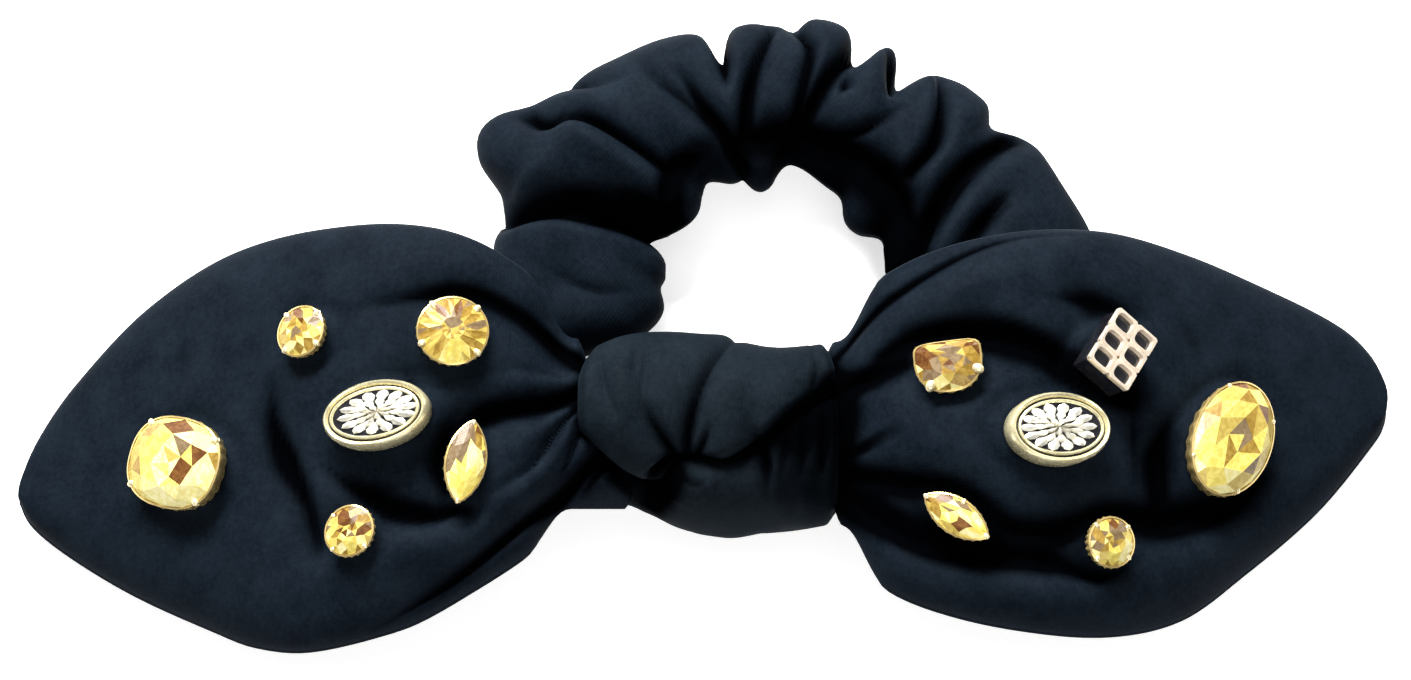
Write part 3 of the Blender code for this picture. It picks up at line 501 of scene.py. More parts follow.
def satin(name, deep, pale, turn=0.0):
    """Brushed navy knit: fine ribs, faint mottling, a soft nap that catches light, a little lint, and
    painted shade that turns it near black, without sheen or specular, in folds and gaps.
    """
    g = Graph(name)
    spot = g.place()
    turned = g.node("VectorRotate", rotation_type="Z_AXIS")
    g.feed(turned, Vector=spot, Angle=math.radians(turn))
    spot = turned.outputs["Vector"]
    ribs = g.node("TexWave", wave_type="BANDS", bands_direction="X")
    g.feed(ribs, Vector=spot, Scale=700.0, Distortion=1.2, Detail=2.0, Detail_Scale=2.0)
    rows = g.node("TexWave", wave_type="BANDS", bands_direction="Y")
    g.feed(rows, Vector=spot, Scale=900.0, Distortion=1.6, Detail=1.0)
    nap = g.noise(spot, 1500.0, 5.0, 0.8)
    mottle = g.noise(spot, 170.0, 5.0, 0.65)
    tone = g.math("ADD", g.math("MULTIPLY", mottle, 0.5), g.math("MULTIPLY", nap, 0.5))
    colour = g.ramp(tone, (0.37, deep), (0.63, pale))
    cells = g.node("TexVoronoi", feature="F1")
    g.feed(cells, Vector=spot, Scale=190.0)
    chosen = g.math("GREATER_THAN", g.first_channel(cells.outputs["Color"]), 0.965)
    tiny = g.math("LESS_THAN", cells.outputs["Distance"], 0.032)
    lint = g.math("MULTIPLY", chosen, tiny)
    colour = g.mix(lint, colour, (0.050, 0.062, 0.075, 1.0))
    # painted shade: the colour goes near black where the painted fold shade is high
    depth = g.node("Attribute", attribute_name="painted_fold_shade").outputs["Fac"]
    colour = g.mix(depth, colour, (0.0004, 0.0005, 0.0008, 1.0))
    g.link(colour, g.shader.inputs["Base Color"])
    weave = g.math("ADD", g.math("MULTIPLY", ribs.outputs["Fac"], 0.6),
                   g.math("MULTIPLY", rows.outputs["Fac"], 0.4))
    height = g.math("ADD", weave, g.math("MULTIPLY", nap, 0.8))
    g.link(g.bump(height, 0.00004, 0.4), g.shader.inputs["Normal"])
    g.link(g.ramp(mottle, (0.3, (0.58,) * 3), (0.7, (0.72,) * 3)), g.shader.inputs["Roughness"])
    # painted shade also takes the sheen and the specular away in the folds and gaps
    unshaded_share = g.math("SUBTRACT", 1.0, depth)
    g.link(g.math("MULTIPLY", unshaded_share, 0.010), g.shader.inputs["Sheen Weight"])
    g.link(g.math("MULTIPLY", unshaded_share, 0.012), g.shader.inputs["Specular IOR Level"])
    g.set(Sheen_Roughness=0.30, Sheen_Tint=(0.35, 0.62, 1.0, 1.0))
    return g.material


def metal(name, colour, roughness):
    """Plated metal with fine handling marks."""
    g = Graph(name)
    spot = g.place()
    marks = g.noise(spot, 800.0, 3.0, 0.6)
    dim = tuple(c * 0.88 for c in colour)
    g.link(g.ramp(marks, (0.35, dim), (0.62, colour)), g.shader.inputs["Base Color"])
    low, high = roughness * 0.75, roughness * 1.35
    g.link(g.ramp(marks, (0.3, (low,) * 3), (0.7, (high,) * 3)), g.shader.inputs["Roughness"])
    g.link(g.bump(g.noise(spot, 500.0, 2.0, 0.5), 0.00001, 0.4), g.shader.inputs["Normal"])
    g.set(Metallic=0.6)
    return g.material


def stone_tint(name, deep, pale):
    """One tint of foil seen through polished glass: a champagne colour, darker or lighter as painted
    reflection, under a clear hard coat.
    """
    g = Graph(name)
    cloud = g.noise(g.place(), 900.0, 2.0, 0.5, 1.5)
    g.link(g.ramp(cloud, (0.38, deep), (0.62, pale)), g.shader.inputs["Base Color"])
    g.set(Roughness=0.30, Specular_IOR_Level=0.12, Coat_Weight=0.12, Coat_Roughness=0.04)
    return g.material


def enamel(name):
    """Black glossy enamel, very slightly wavy."""
    g = Graph(name)
    spot = g.place()
    g.link(g.bump(g.noise(spot, 420.0, 2.0, 0.5), 0.00008, 0.4), g.shader.inputs["Normal"])
    g.link(g.ramp(g.noise(spot, 900.0, 3.0), (0.3, (0.006, 0.006, 0.008)), (0.7, (0.014, 0.014, 0.018))),
           g.shader.inputs["Base Color"])
    g.set(Roughness=0.14, Coat_Weight=0.6, Coat_Roughness=0.05)
    return g.material


def plain_noise(name, low, high, scale, roughness, bump):
    """A matte material with a fine uneven colour: thread, elastic, floor."""
    g = Graph(name)
    spot = g.place()
    tone = g.noise(spot, scale, 3.0, 0.6)
    g.link(g.ramp(tone, (0.3, low), (0.7, high)), g.shader.inputs["Base Color"])
    if bump:
        g.link(g.bump(tone, bump, 0.6), g.shader.inputs["Normal"])
    g.set(Roughness=roughness, Specular_IOR_Level=0.06)
    return g.material


DEEP, PALE = (0.0024, 0.0043, 0.0076), (0.0071, 0.0115, 0.0176)
wing_satin = satin("wing_satin", DEEP, PALE)
ring_satin = satin("ring_satin", DEEP, PALE, 35)
knot_satin = satin("knot_satin", (0.0030, 0.0053, 0.0078), (0.0080, 0.0120, 0.0166), 8)
thread = plain_noise("navy_thread", (0.006, 0.009, 0.013), (0.014, 0.020, 0.028), 4000.0, 0.7, 0.00004)
rubber = plain_noise("black_elastic", (0.010, 0.010, 0.011), (0.022, 0.022, 0.024), 3000.0, 0.8, 0.00008)
STONE_TINTS = [
    stone_tint("stone_brown", (0.085, 0.030, 0.009), (0.150, 0.066, 0.018)),
    stone_tint("stone_mauve", (0.140, 0.092, 0.046), (0.210, 0.150, 0.084)),
    stone_tint("stone_gold", (0.220, 0.130, 0.020), (0.330, 0.215, 0.045)),
    stone_tint("stone_straw", (0.370, 0.265, 0.055), (0.470, 0.360, 0.090)),
    stone_tint("stone_yellow", (0.540, 0.430, 0.085), (0.650, 0.550, 0.150)),
    stone_tint("stone_cream", (0.630, 0.550, 0.200), (0.700, 0.650, 0.340)),
]
BROWN, MAUVE, GOLD, STRAW, YELLOW, CREAM = range(6)
gold = metal("gold_plate", (0.62, 0.46, 0.18), 0.22)
claw_gold = metal("claw_gold", (0.92, 0.80, 0.50), 0.30)
pale_gold = metal("pale_gold", (0.88, 0.80, 0.50), 0.24)
ivory_gold = metal("ivory_gold", (0.98, 0.95, 0.84), 0.32)
rose_gold = metal("rose_gold", (0.98, 0.84, 0.68), 0.34)
black_enamel = enamel("black_enamel")


# ---------------- wings

class Wing:
    """The shape of one wing: side is -1 on the left and +1 on the right. Its neck is three sizes
    of an arc round the knot's axis: how far it reaches in +Y, in -Y and upwards."""

    def __init__(self, name, side, top, bottom, neck):
        self.name = name
        self.side = side
        self.neck = neck
        self.top = profile(top)
        self.bottom = profile(bottom)
        self.crest = profile(WING_CREST)
        self.front = profile(FRONT_PUFF)
        self.back = profile(BACK_PUFF)

    def puff(self, depth, u, t):
        """How far a panel stands off the edge plane, as in the CAD."""
        bend = np.sqrt(np.maximum(HINGE_R ** 2 - (HINGE_X - u) ** 2, 0.0))
        height = np.where(u < HINGE_X, bend, depth(u))
        return height * np.sqrt(np.maximum(1 - t ** 4, 0.0))

    def face(self, u, y):
        """Height of the CAD front panel's outside."""
        top, bottom = self.top(u), self.bottom(u)
        t = (2 * y - top - bottom) / (top - bottom)
        return self.crest(u) + SEWN_RIM + self.puff(self.front, u, t)

    def seat(self, u, y, turn):
        """The frame of a jewel glued on the front panel: +Z along the fabric's normal."""
        step = 0.002
        x_slope = self.side * (self.face(u + step, y) - self.face(u - step, y)) / (2 * step)
        y_slope = (self.face(u, y + step) - self.face(u, y - step)) / (2 * step)
        normal = Vector((-x_slope, -y_slope, 1)).normalized()
        along = Vector((math.cos(math.radians(turn)), math.sin(math.radians(turn)), 0))
        along = (along - normal * along.dot(normal)).normalized()
        axes = Matrix((along, normal.cross(along), normal)).transposed().to_4x4()
        spot = Vector((self.side * u, y, float(self.face(u, y)))) + normal * CLEAR
        return Matrix.Translation(spot) @ axes


left = Wing("left_wing", -1, LEFT_TOP, LEFT_BOTTOM, neck=(0.0122, 0.0106, 0.0106))
right = Wing("right_wing", 1, RIGHT_TOP, RIGHT_BOTTOM, neck=(0.0118, 0.0126, 0.0098))

# Where each jewel sits, nearly as in the CAD:
# name: (wing, (distance from the middle, y), turn in degrees, half length, half width)
SEATS = {
    "left_upper_round": (left, (0.0495, 0.0104), 20, 0.00265, 0.00260),
    "left_neck_round": (left, (0.0314, 0.0093), 10, 0.00375, 0.00370),
    "left_marquise": (left, (0.0297, -0.0070), 80, 0.0046, 0.00186),
    "left_cushion": (left, (0.0654, -0.0045), -15, 0.0065, 0.0051),
    "left_lower_round": (left, (0.0427, -0.0153), 35, 0.00260, 0.00240),
    "right_half_moon": (right, (0.0302, 0.0056), 5, 0.0035, 0.0033),
    "right_marquise": (right, (0.0308, -0.0137), -35, 0.0040, 0.00155),
    "right_lower_round": (right, (0.0488, -0.0161), 15, 0.00260, 0.00245),
    "right_big_oval": (right, (0.0651, -0.0014), 53, 0.0076, 0.0050),
    "left_emblem": (left, (0.0398, -0.0012), 8, 0.0067, 0.0042),
    "right_emblem": (right, (0.0425, -0.0028), 5, 0.0067, 0.0045),
    "right_charm": (right, (0.0498, 0.0076), 53, 0.0046, 0.0036),
}


def seat_fabric(wing, points):
    """Press the front fabric flat under each jewel and pinch it down just outside it."""
    pinch_depth, pinch_width = 0.00055, 0.0011
    for owner, (u, y), turn, half_l, half_w in SEATS.values():
        if owner is not wing:
            continue
        place = wing.seat(u, y, turn)
        inverse = np.array(place.inverted())
        local = points @ inverse[:3, :3].T + inverse[:3, 3]
        reach = np.hypot(local[:, 0] / half_l, local[:, 1] / half_w)
        gap = (reach - 1) * min(half_l, half_w)
        points[:, 2] -= pinch_depth * np.exp(-((gap - pinch_width) / pinch_width) ** 2)
        flat = 1 - smoothstep(-0.0002, 0.0014, gap)
        normal = np.array(place.col[2])[:3]
        spot = np.array(place.translation) + normal * 0.0001
        plane = spot[2] - ((points[:, :2] - spot[:2]) @ normal[:2]) / normal[2]
        points[:, 2] += (plane - points[:, 2]) * flat
    return points


def panel_points(wing, rows, columns, sign):
    """A grid of points over a wing, before any fold: the front panel (sign +1) or the back (-1).
    u runs from the knot to the tip, and t from -1 to 1 across. The front of the left wing starts
    furthest in, because its lower pleats lie over the knot's end."""
    t = np.sin(np.pi / 2 * np.linspace(-1, 1, columns))[None, :]
    start = NECK_X - 0.0016 + 0 * t
    if wing.side < 0 and sign > 0:
        start = start - 0.0070 * smoothstep(0.0, 0.85, -t) - 0.0036 * smoothstep(-0.1, 0.35, t)
    if wing.side > 0 and sign > 0:
        start = start - 0.0016 * smoothstep(0.1, 0.6, t)
    spread = (1 - np.cos(np.pi * np.linspace(0.12, 1, rows)[:, None])) / 2
    spread = (spread - spread[0]) / (spread[-1] - spread[0])
    u = (start + (WING_TIP_X - 0.0001 - start) * spread).ravel()
    t, start = [np.broadcast_to(part, (rows, columns)).ravel() for part in (t, start)]
    outline_u = np.maximum(u, NECK_X)
    top, bottom = wing.top(outline_u), wing.bottom(outline_u)
    y = (top + bottom) / 2 + (top - bottom) / 2 * t
    depth = wing.front if sign > 0 else wing.back
    bend = np.sqrt(np.maximum(HINGE_R ** 2 - np.clip(HINGE_X - u, 0, HINGE_R * 0.8) ** 2, 0.0))
    height = np.where(u < HINGE_X, bend, depth(u))
    z = wing.crest(outline_u) + sign * (SEWN_RIM + height) * np.sqrt(np.maximum(1 - t ** 4, 0.0))
    # At the neck the section closes to an arc that follows the knot, and its end dives inside.
    tuck = 1 - smoothstep(NECK_X - 0.0006, NECK_X + 0.0062, u)
    angle = t * math.radians(78 if sign > 0 else 60)
    high, low, rise = wing.neck if sign > 0 else (0.0068, 0.0068, 0.0014)
    over = 0.0016 * smoothstep(0.1, 0.7, -t) if wing.side < 0 and sign > 0 else 0.0
    inside = 1 - smoothstep(0.0, 0.0020, u - start)
    under_knot = (1 - smoothstep(0.0142, 0.0164, u)) * smoothstep(0.0, 0.3, t)
    inside = np.maximum(inside, under_knot)
    arc_y = KNOT_Y + np.where(t > 0, high, low) * np.sin(angle) * (1 - 0.38 * inside)
    arc_z = KNOT_Z + (rise + over) * np.cos(angle) * (1 - 0.30 * inside)
    y = y + (arc_y - y) * tuck ** 1.5
    z = z + (arc_z - z) * tuck
    return np.stack([wing.side * u, y, z], axis=1), t


def make_seam(name, grid):
    """The closing thread, lying along both edges of a panel's grid from neck to neck."""
    path = np.vstack([grid[6:, -1], grid[-2:5:-1, 0]])
    way = np.gradient(path, axis=0)
    way /= np.linalg.norm(way, axis=1)[:, None] + 1e-12
    out = np.cross(way, [0.0, 0.0, 1.0])
    sides = 6
    points = []
    for spot, across in zip(path, out):
        for k in range(sides):
            angle = 2 * math.pi * k / sides
            turned = across * math.cos(angle) + np.array([0, 0, math.sin(angle)])
            points.append(spot + THREAD_R * turned)
    return add_mesh(name + "_seam_stitch", points, grid_faces(len(path), sides, wrap=True), thread)


def make_front_panel(wing, folds, seed):
    """The front panel with its folds, pressed flat under the jewels. A valley stops at the lining,
    the height at which the panel would go through the back one."""
    rows, columns = 150, 110
    points, t = panel_points(wing, rows, columns, 1)
    edge = np.sqrt(1 - t ** 4)
    shift = fold_shift(points[:, :2], folds)
    shift += 0.00022 * waves(points[:, :2], seed, 0.022)
    u = wing.side * points[:, 0]
    near_knot = 1 - smoothstep(NECK_X - 0.001, NECK_X + 0.007, u)
    lining = wing.crest(u) + 0.0004 - 0.010 * near_knot
    z = points[:, 2]
    points[:, 2] = np.where(z > lining, np.maximum(z + shift * edge, lining), z)
    points = seat_fabric(wing, points)
    faces = grid_faces(rows, columns, flip=wing.side < 0)
    front = add_mesh(wing.name + "_front_panel_cloth", points, faces, wing_satin)
    # painted shade of the folds and the unlit gaps, stored for the fabric's colour
    paint_fold_shade(front, shift, 0.0015, painted_gap_shade(points[:, :2], folds))
    return front


def make_back_panel(wing, seed):
    """The back panel with a few plain folds, and its grid of points."""
    rows, columns = 90, 60
    points, t = panel_points(wing, rows, columns, -1)
    edge = np.sqrt(np.clip(1 - np.abs(t), 0, 1) * 6).clip(0, 1)
    plan = points[:, :2] * [wing.side, 1]
    shift = fold_shift(plan, BACK_FOLDS) + 0.0002 * waves(points[:, :2], seed, 0.022)
    points[:, 2] -= shift * edge
    faces = grid_faces(rows, columns, flip=wing.side > 0)
    back = add_mesh(wing.name + "_back_panel_cloth", points, faces, wing_satin)
    # painted shade of the back panel's folds, stored for the fabric's colour
    paint_fold_shade(back, shift, 0.0024, 0.0)
    return back, points.reshape(rows, columns, 3)


def make_wing(wing, folds, seed):
    """The front and back panels of a wing, sewn along their edge, and the closing thread."""
    name = wing.name
    front = make_front_panel(wing, folds, seed)
    back, grid = make_back_panel(wing, seed + 5)
    seam = make_seam(name, grid)
    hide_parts(name + "_seam_thread")
    for piece in (front, back, seam):
        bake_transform(piece)
    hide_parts(name + "_front_panel")
    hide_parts(name + "_back_panel")


# ---------------- the knot

def knot_barrel(start, end, rows, columns, shrink):
    """The knot's barrel between two angles in degrees round its axis, from +Y over the top to -Y:
    points, outward directions and the angles."""
    angle = np.radians(np.linspace(start, end, rows))
    x = (KNOT_HALF_X + 0.0003) * np.sin(np.pi / 2 * np.linspace(-1, 1, columns))
    angle, x = [part.ravel() for part in np.meshgrid(angle, x, indexing="ij")]
    high_y, low_y = profile(KNOT_TOP)(x / MM) * MM, profile(KNOT_LOW)(x / MM) * MM
    middle, half = (high_y + low_y) / 2, (high_y - low_y) / 2
    ends = 1 - 0.05 * np.abs(x / KNOT_HALF_X) ** 4
    ends *= 1 - 0.10 * smoothstep(0.0148, 0.0166, np.abs(x)) ** 2
    high = smoothstep(0.3, 1.0, np.cos(angle))
    x = np.where(x < 0, x * (0.96 - 0.06 * high), x * (1 - 0.05 * high))
    half_y, half_z = half * ends * shrink, KNOT_HALF_Z * ends * shrink
    normal = np.stack([np.zeros_like(x), np.cos(angle), np.sin(angle)], axis=1)
    points = np.stack([x, middle + half_y * np.cos(angle), KNOT_Z + half_z * np.sin(angle)], axis=1)
    return points, normal, angle


def make_knot():
    """The knot's wrap: a barrel with the folds of its bands, its two ends turned in behind."""
    rows, columns = 150, 120
    points, normal, angle = knot_barrel(WRAP_FROM, WRAP_TO, rows, columns, 1.0)
    shown = smoothstep(-0.5, 0.1, np.sin(angle))
    shift = fold_shift(points[:, :2], KNOT_FOLDS) * (0.35 + 0.65 * shown)
    # painted shade of the unlit gaps, on the shown side only
    gaps = painted_gap_shade(points[:, :2], KNOT_FOLDS) * shown
    shift += 0.00018 * waves(points, 31, 0.012)
    points += normal * shift[:, None]
    degrees = np.degrees(angle)
    from_start = smoothstep(WRAP_FROM, WRAP_FROM + WRAP_TURN, degrees)
    to_end = 1 - smoothstep(WRAP_TO - WRAP_TURN, WRAP_TO, degrees)
    turned_in = 0.16 * (1 - from_start * to_end)
    points += (np.array([0, KNOT_Y, KNOT_Z]) - points) * [0, 1, 1] * turned_in[:, None]
    points[:, 2] = np.maximum(points[:, 2], 0.0004)
    wrap = add_mesh("knot_front_wrap_cloth", points, grid_faces(rows, columns, flip=True), knot_satin)
    # painted shade of the folds and the unlit gaps, stored for the fabric's colour
    paint_fold_shade(wrap, shift, 0.0020, gaps)
    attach(wrap, "knot")
    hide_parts("knot_front_wrap", "knot_lower_tuck")


def make_back_band():
    """The band of the sash behind the knot, pleated along its length, that closes the wrap."""
    rows, columns = 40, 90
    points, normal, angle = knot_barrel(BAND_FROM, BAND_TO, rows, columns, 0.985)
    x, y = points[:, 0], points[:, 1]
    pleats = 0.00020 * np.sin(700 * x + 90 * y) + 0.00014 * np.sin(1650 * x + 1.0)
    shift = pleats * (1 - smoothstep(18, 34, np.abs(np.degrees(angle) - 270)))
    points += normal * shift[:, None]
    points[:, 2] = np.maximum(points[:, 2], LOWEST_Z)
    band = add_mesh("knot_back_band_cloth", points, grid_faces(rows, columns, flip=True), knot_satin)
    # painted shade of the pleats, stored for the fabric's colour
    paint_fold_shade(band, shift, 0.0008, 0.0)
    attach(band, "knot")
    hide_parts("knot_back_band")


def make_core():
    """The gathered middle of the sash, a slim pleated roll deep inside the knot."""
    rows, columns = 60, 48
    half_l, half_y, half_z, middle_z = 0.0150, 0.0058, 0.0024, 0.0172
    x = half_l * np.linspace(-1, 1, rows)
    a = 2 * np.pi * np.arange(columns) / columns
    x, a = [part.ravel() for part in np.meshgrid(x, a, indexing="ij")]
    size = 1 + 0.08 * np.cos(9 * a + 40 * x)
    y, z = KNOT_Y + half_y * size * np.cos(a), middle_z + half_z * size * np.sin(a)
    points = np.stack([x, y, z], axis=1)
    faces = grid_faces(rows, columns, wrap=True)
    faces += [tuple(range(columns)), tuple(reversed(range((rows - 1) * columns, rows * columns)))]
    core = add_mesh("sash_core_cloth", points, faces, knot_satin)
    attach(core, "knot")
    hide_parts("sash_core")


# ---------------- the ring

def ring_fullness(f):
    """0 where the knot squeezes the sleeve, 1 where it is full; f is the place along it, 0 to 1."""
    return smoothstep(0, 0.26, np.minimum(f, 1 - f))


def sleeve_frame(count):
    """Sections of the sleeve from arm to arm: place along it (0-1), fullness, x, y and z of the
    middle, and the sideways direction, which points into the ring's hole."""
    line = smooth_line(RING_LINE, per_span=24)
    steps = np.concatenate([[0], np.cumsum(np.linalg.norm(np.diff(line, axis=0), axis=1))])
    f = np.linspace(0, 1, count)
    x = np.interp(f * steps[-1], steps, line[:, 0])
    y = np.interp(f * steps[-1], steps, line[:, 1])
    way = np.stack([np.gradient(x), np.gradient(y)], axis=1)
    way /= np.linalg.norm(way, axis=1)[:, None]
    side = np.stack([way[:, 1], -way[:, 0]], axis=1)
    full = ring_fullness(f)
    z = RING_AXIS_Z + (RING_HALF_H - RING_AXIS_Z) * full
    return f, full, x, y, z, side


def make_sleeve():
    """The ruched sleeve: one gathered tube from arm to arm. Its folds fade at the knot, and on its
    sides and its underside they are shallower."""
    count, sides = 380, 84
    f, full, x, y, z, side = sleeve_frame(count)
    inner_w, outer_w = profile(SLEEVE_INNER)(f) * MM, profile(SLEEVE_OUTER)(f) * MM
    half_h = RING_NECK_R + (RING_HALF_H - RING_NECK_R) * full
    a = np.linspace(0, 2 * np.pi, sides)
    cos, sin = np.cos(a), np.sin(a)
    half_w = np.where(cos > 0, inner_w[:, None], outer_w[:, None])
    out = np.stack([side[:, 0:1] * cos, side[:, 1:2] * cos, np.broadcast_to(sin, (count, sides))],
                   axis=2)
    base = np.stack([x[:, None] + side[:, 0:1] * (half_w * cos),
                     y[:, None] + side[:, 1:2] * (half_w * cos),
                     z[:, None] + half_h[:, None] * sin], axis=2)
    points, out = base.reshape(-1, 3), out.reshape(-1, 3)
    strength = np.where(out[:, 2] > -0.2, 1.0, 0.6) * np.repeat(full, sides)
    strength *= 0.45 + 0.55 * smoothstep(0.0, 0.55, np.abs(out[:, 2]))
    shift = fold_shift(points[:, :2], RING_FOLDS) * strength
    creases = shift.copy()
    # painted shade of the unlit gaps, on the sleeve's upper side only
    gaps = painted_gap_shade(points[:, :2], RING_FOLDS) * smoothstep(-0.3, 0.1, out[:, 2])
    shift += 0.0006 * waves(points, 12, 0.02) * np.repeat(full, sides)
    middle = np.repeat(np.stack([x, y, z], axis=1), sides, axis=0)
    shift = np.maximum(shift, SLEEVE_LEAST_R - np.linalg.norm(points - middle, axis=1))
    points = points + out * shift[:, None]
    points[:, 2] = np.maximum(points[:, 2], LOWEST_Z)
    sleeve = add_mesh("ruched_sleeve_cloth", points, grid_faces(count, sides, flip=True), ring_satin)
    # painted shade of the folds and the unlit gaps, stored for the fabric's colour
    paint_fold_shade(sleeve, creases, 0.0020, gaps)
    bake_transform(sleeve)
    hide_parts("sleeve_crown", "sleeve_left_arm", "sleeve_right_arm")


def make_gathered_core():
    """The part of the sleeve squeezed inside the knot, in fine pleats round the ring's axis."""
    rows, columns = 80, 96
    half_l = 0.0182
    x = half_l * np.linspace(-1, 1, rows)
    a = 2 * np.pi * np.arange(columns) / columns
    x, a = [part.ravel() for part in np.meshgrid(x, a, indexing="ij")]
    flare = 0.0007 * smoothstep(0.0150, half_l, np.abs(x))
    radius = 0.0041 + 0.0004 * np.cos(13 * a + 50 * x) + flare
    y, z = RING_AXIS_Y + radius * np.cos(a), RING_AXIS_Z + radius * np.sin(a)
    points = np.stack([x, y, z], axis=1)
    faces = grid_faces(rows, columns, wrap=True)
    core = add_mesh("sleeve_gathered_core_cloth", points, faces, ring_satin)
    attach(core, "ring_arms")
    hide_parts("sleeve_gathered_core")


def make_elastic():
    """The elastic inside the sleeve: a flat band along the ring's middle line."""
    count = 160
    _, _, x, y, z, side = sleeve_frame(count)
    half_t, half_h = 0.0006, 0.0030
    corners = [(-half_t, -half_h), (half_t, -half_h), (half_t, half_h), (-half_t, half_h)]
    points = []
    for k in range(count):
        for across, up in corners:
            points.append((x[k] + side[k, 0] * across, y[k] + side[k, 1] * across, z[k] + up))
    faces = grid_faces(count, 4, wrap=True)
    faces += [(0, 1, 2, 3), tuple(len(points) - 4 + k for k in (3, 2, 1, 0))]
    band = add_mesh("elastic_loop_band", points, faces, rubber, smooth=False)
    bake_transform(band)
    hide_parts("elastic_base", "elastic_crown", "elastic_overlap")


# ---------------- jewels

def oval(angle):
    """Outline of a round or oval stone, in half lengths."""
    return math.cos(angle), math.sin(angle)


def cushion(angle):
    """A square with bowed sides and very round corners."""
    c, s = math.cos(angle), math.sin(angle)
    return math.copysign(abs(c) ** 0.82, c), math.copysign(abs(s) ** 0.82, s)


def marquise(angle):
    """A boat shape, pointed at both ends."""
    s = math.sin(angle)
    return math.cos(angle), s * abs(s) ** 0.55


def half_moon(angle):
    """Nearly straight along the top and round below."""
    c, s = math.cos(angle), math.sin(angle)
    if s > 0:
        return math.copysign(abs(c) ** 0.45, c), 0.62 * s ** 0.35
    return math.copysign(abs(c) ** 0.8, c), s


def finish_jewel(piece, owner, slot_name, *nodes):
    """A jewel's piece rides its wing and stands for CAD nodes."""
    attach(piece, owner.name)
    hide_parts(*nodes)


def paint_facet_reflections(builder, name, turn, half_w, weights, rng):
    """Paint each facet's reflection as a tint by weighted luck, with painted shade making them mostly
    darker on the +Y side, and then its painted reflection spots.
    """
    upright = Matrix.Rotation(math.radians(turn), 3, "Z")
    steps = np.cumsum(weights) / sum(weights)
    for face in builder.faces:
        middle = upright @ face.calc_center_median()
        luck = rng.uniform(0, 1)
        # painted light and shade: facets towards +Y get darker tints, those towards -Y lighter ones
        rank = np.clip(0.5 + 0.85 * (luck - 0.5) - 0.26 * middle.y / half_w, 0, 0.999)
        face.material_index = int(np.searchsorted(steps, rank))
        for x, y, radius, tint in SPOTS.get(name, []):
            if math.hypot(middle.x / MM - x, middle.y / MM - y) < radius:
                face.material_index = tint


def join_loops(builder, loops, surface_index=0):
    """Quads between each loop of vertices and the next one."""
    for first, second in zip(loops, loops[1:]):
        count = len(first)
        for k in range(count):
            m = (k + 1) % count
            face = builder.faces.new((first[k], first[m], second[m], second[k]))
            face.material_index = surface_index


def make_stone(name, cut, corners, table, girdle, weights, seed):
    """A foil-backed cut stone: patches on the table tinted as painted reflections of a pavilion seen
    through it, a crown of three rings of facets, a girdle and a cone below."""
    owner, spot, turn, half_l, half_w = SEATS[name]
    half_l, half_w = half_l + STONE_PROUD, half_w + STONE_PROUD
    crown = CROWN_SHARE * half_w
    rng = np.random.default_rng(seed)
    builder = bmesh.new()

    def ring(scale, z, count, shift=0.0, jitter=0.0):
        made = []
        for k in range(count):
            x, y = cut(2 * math.pi * (k + shift) / count)
            wander = 1 + jitter * rng.uniform(-1, 1)
            made.append(builder.verts.new((half_l * x * scale * wander, half_w * y * scale * wander, z)))
        return made

    n = corners
    inner_count = max(3, n // 2)
    centre = builder.verts.new((0.1 * half_l * rng.uniform(-1, 1), 0.1 * half_w * rng.uniform(-1, 1),
                                girdle + crown * 0.93))
    core = ring(table * 0.50, girdle + crown * 0.965, inner_count, 0.25, 0.22)
    top = ring(table, girdle + crown, n, 0.0, 0.02)
    middle = ring((1 + table) / 2 + 0.03, girdle + crown * 0.58, n, 0.5, 0.015)
    edge = ring(1.0, girdle + 0.0001, 2 * n)
    under = ring(1.0, girdle - 0.00015, 2 * n)
    low = ring(0.55, 0.0006, 2 * n)

    for k in range(inner_count):
        builder.faces.new((centre, core[k], core[(k + 1) % inner_count]))
    # The table between the inner and outer rings: a patch per top side, a wedge per inner side.
    step = n / inner_count
    for k in range(n):
        near = core[int(k / step) % inner_count]
        builder.faces.new((near, top[k], top[(k + 1) % n]))
        after = core[int((k + 1) / step) % inner_count]
        if after is not near:
            builder.faces.new((near, top[(k + 1) % n], after))
    for k in range(n):
        before, after = middle[k - 1], middle[k]
        builder.faces.new((top[k], after, top[(k + 1) % n]))
        builder.faces.new((top[k], before, edge[2 * k], after))
        builder.faces.new((after, edge[2 * k], edge[2 * k + 1]))
        builder.faces.new((after, edge[2 * k + 1], edge[(2 * k + 2) % (2 * n)]))
    join_loops(builder, [edge, under, low])
    builder.faces.new(low)
    paint_facet_reflections(builder, name, turn, half_w, weights, rng)
    stone = add_built(name + "_cut_stone", builder, STONE_TINTS, owner.seat(*spot, turn))
    finish_jewel(stone, owner, "champagne_glass", name + "_stone")


def add_ball(builder, place, surface_index):
    """A unit ball at a place. Blender's own ball orders its points differently in each run."""
    around, down = 14, 9
    loops = []
    for i in range(1, down):
        lean = math.pi * i / down
        made = []
        for k in range(around):
            x, y = oval(2 * math.pi * (k + 0.5) / around)
            spot = Vector((x * math.sin(lean), y * math.sin(lean), math.cos(lean)))
            made.append(builder.verts.new(place @ spot))
        loops.append(made)
    join_loops(builder, loops, surface_index)
    for loop, z in ((loops[0], 1), (loops[-1], -1)):
        pole = builder.verts.new(place @ Vector((0, 0, z)))
        for k in range(around):
            face = builder.faces.new((pole, loop[k], loop[(k + 1) % around]))
            face.material_index = surface_index


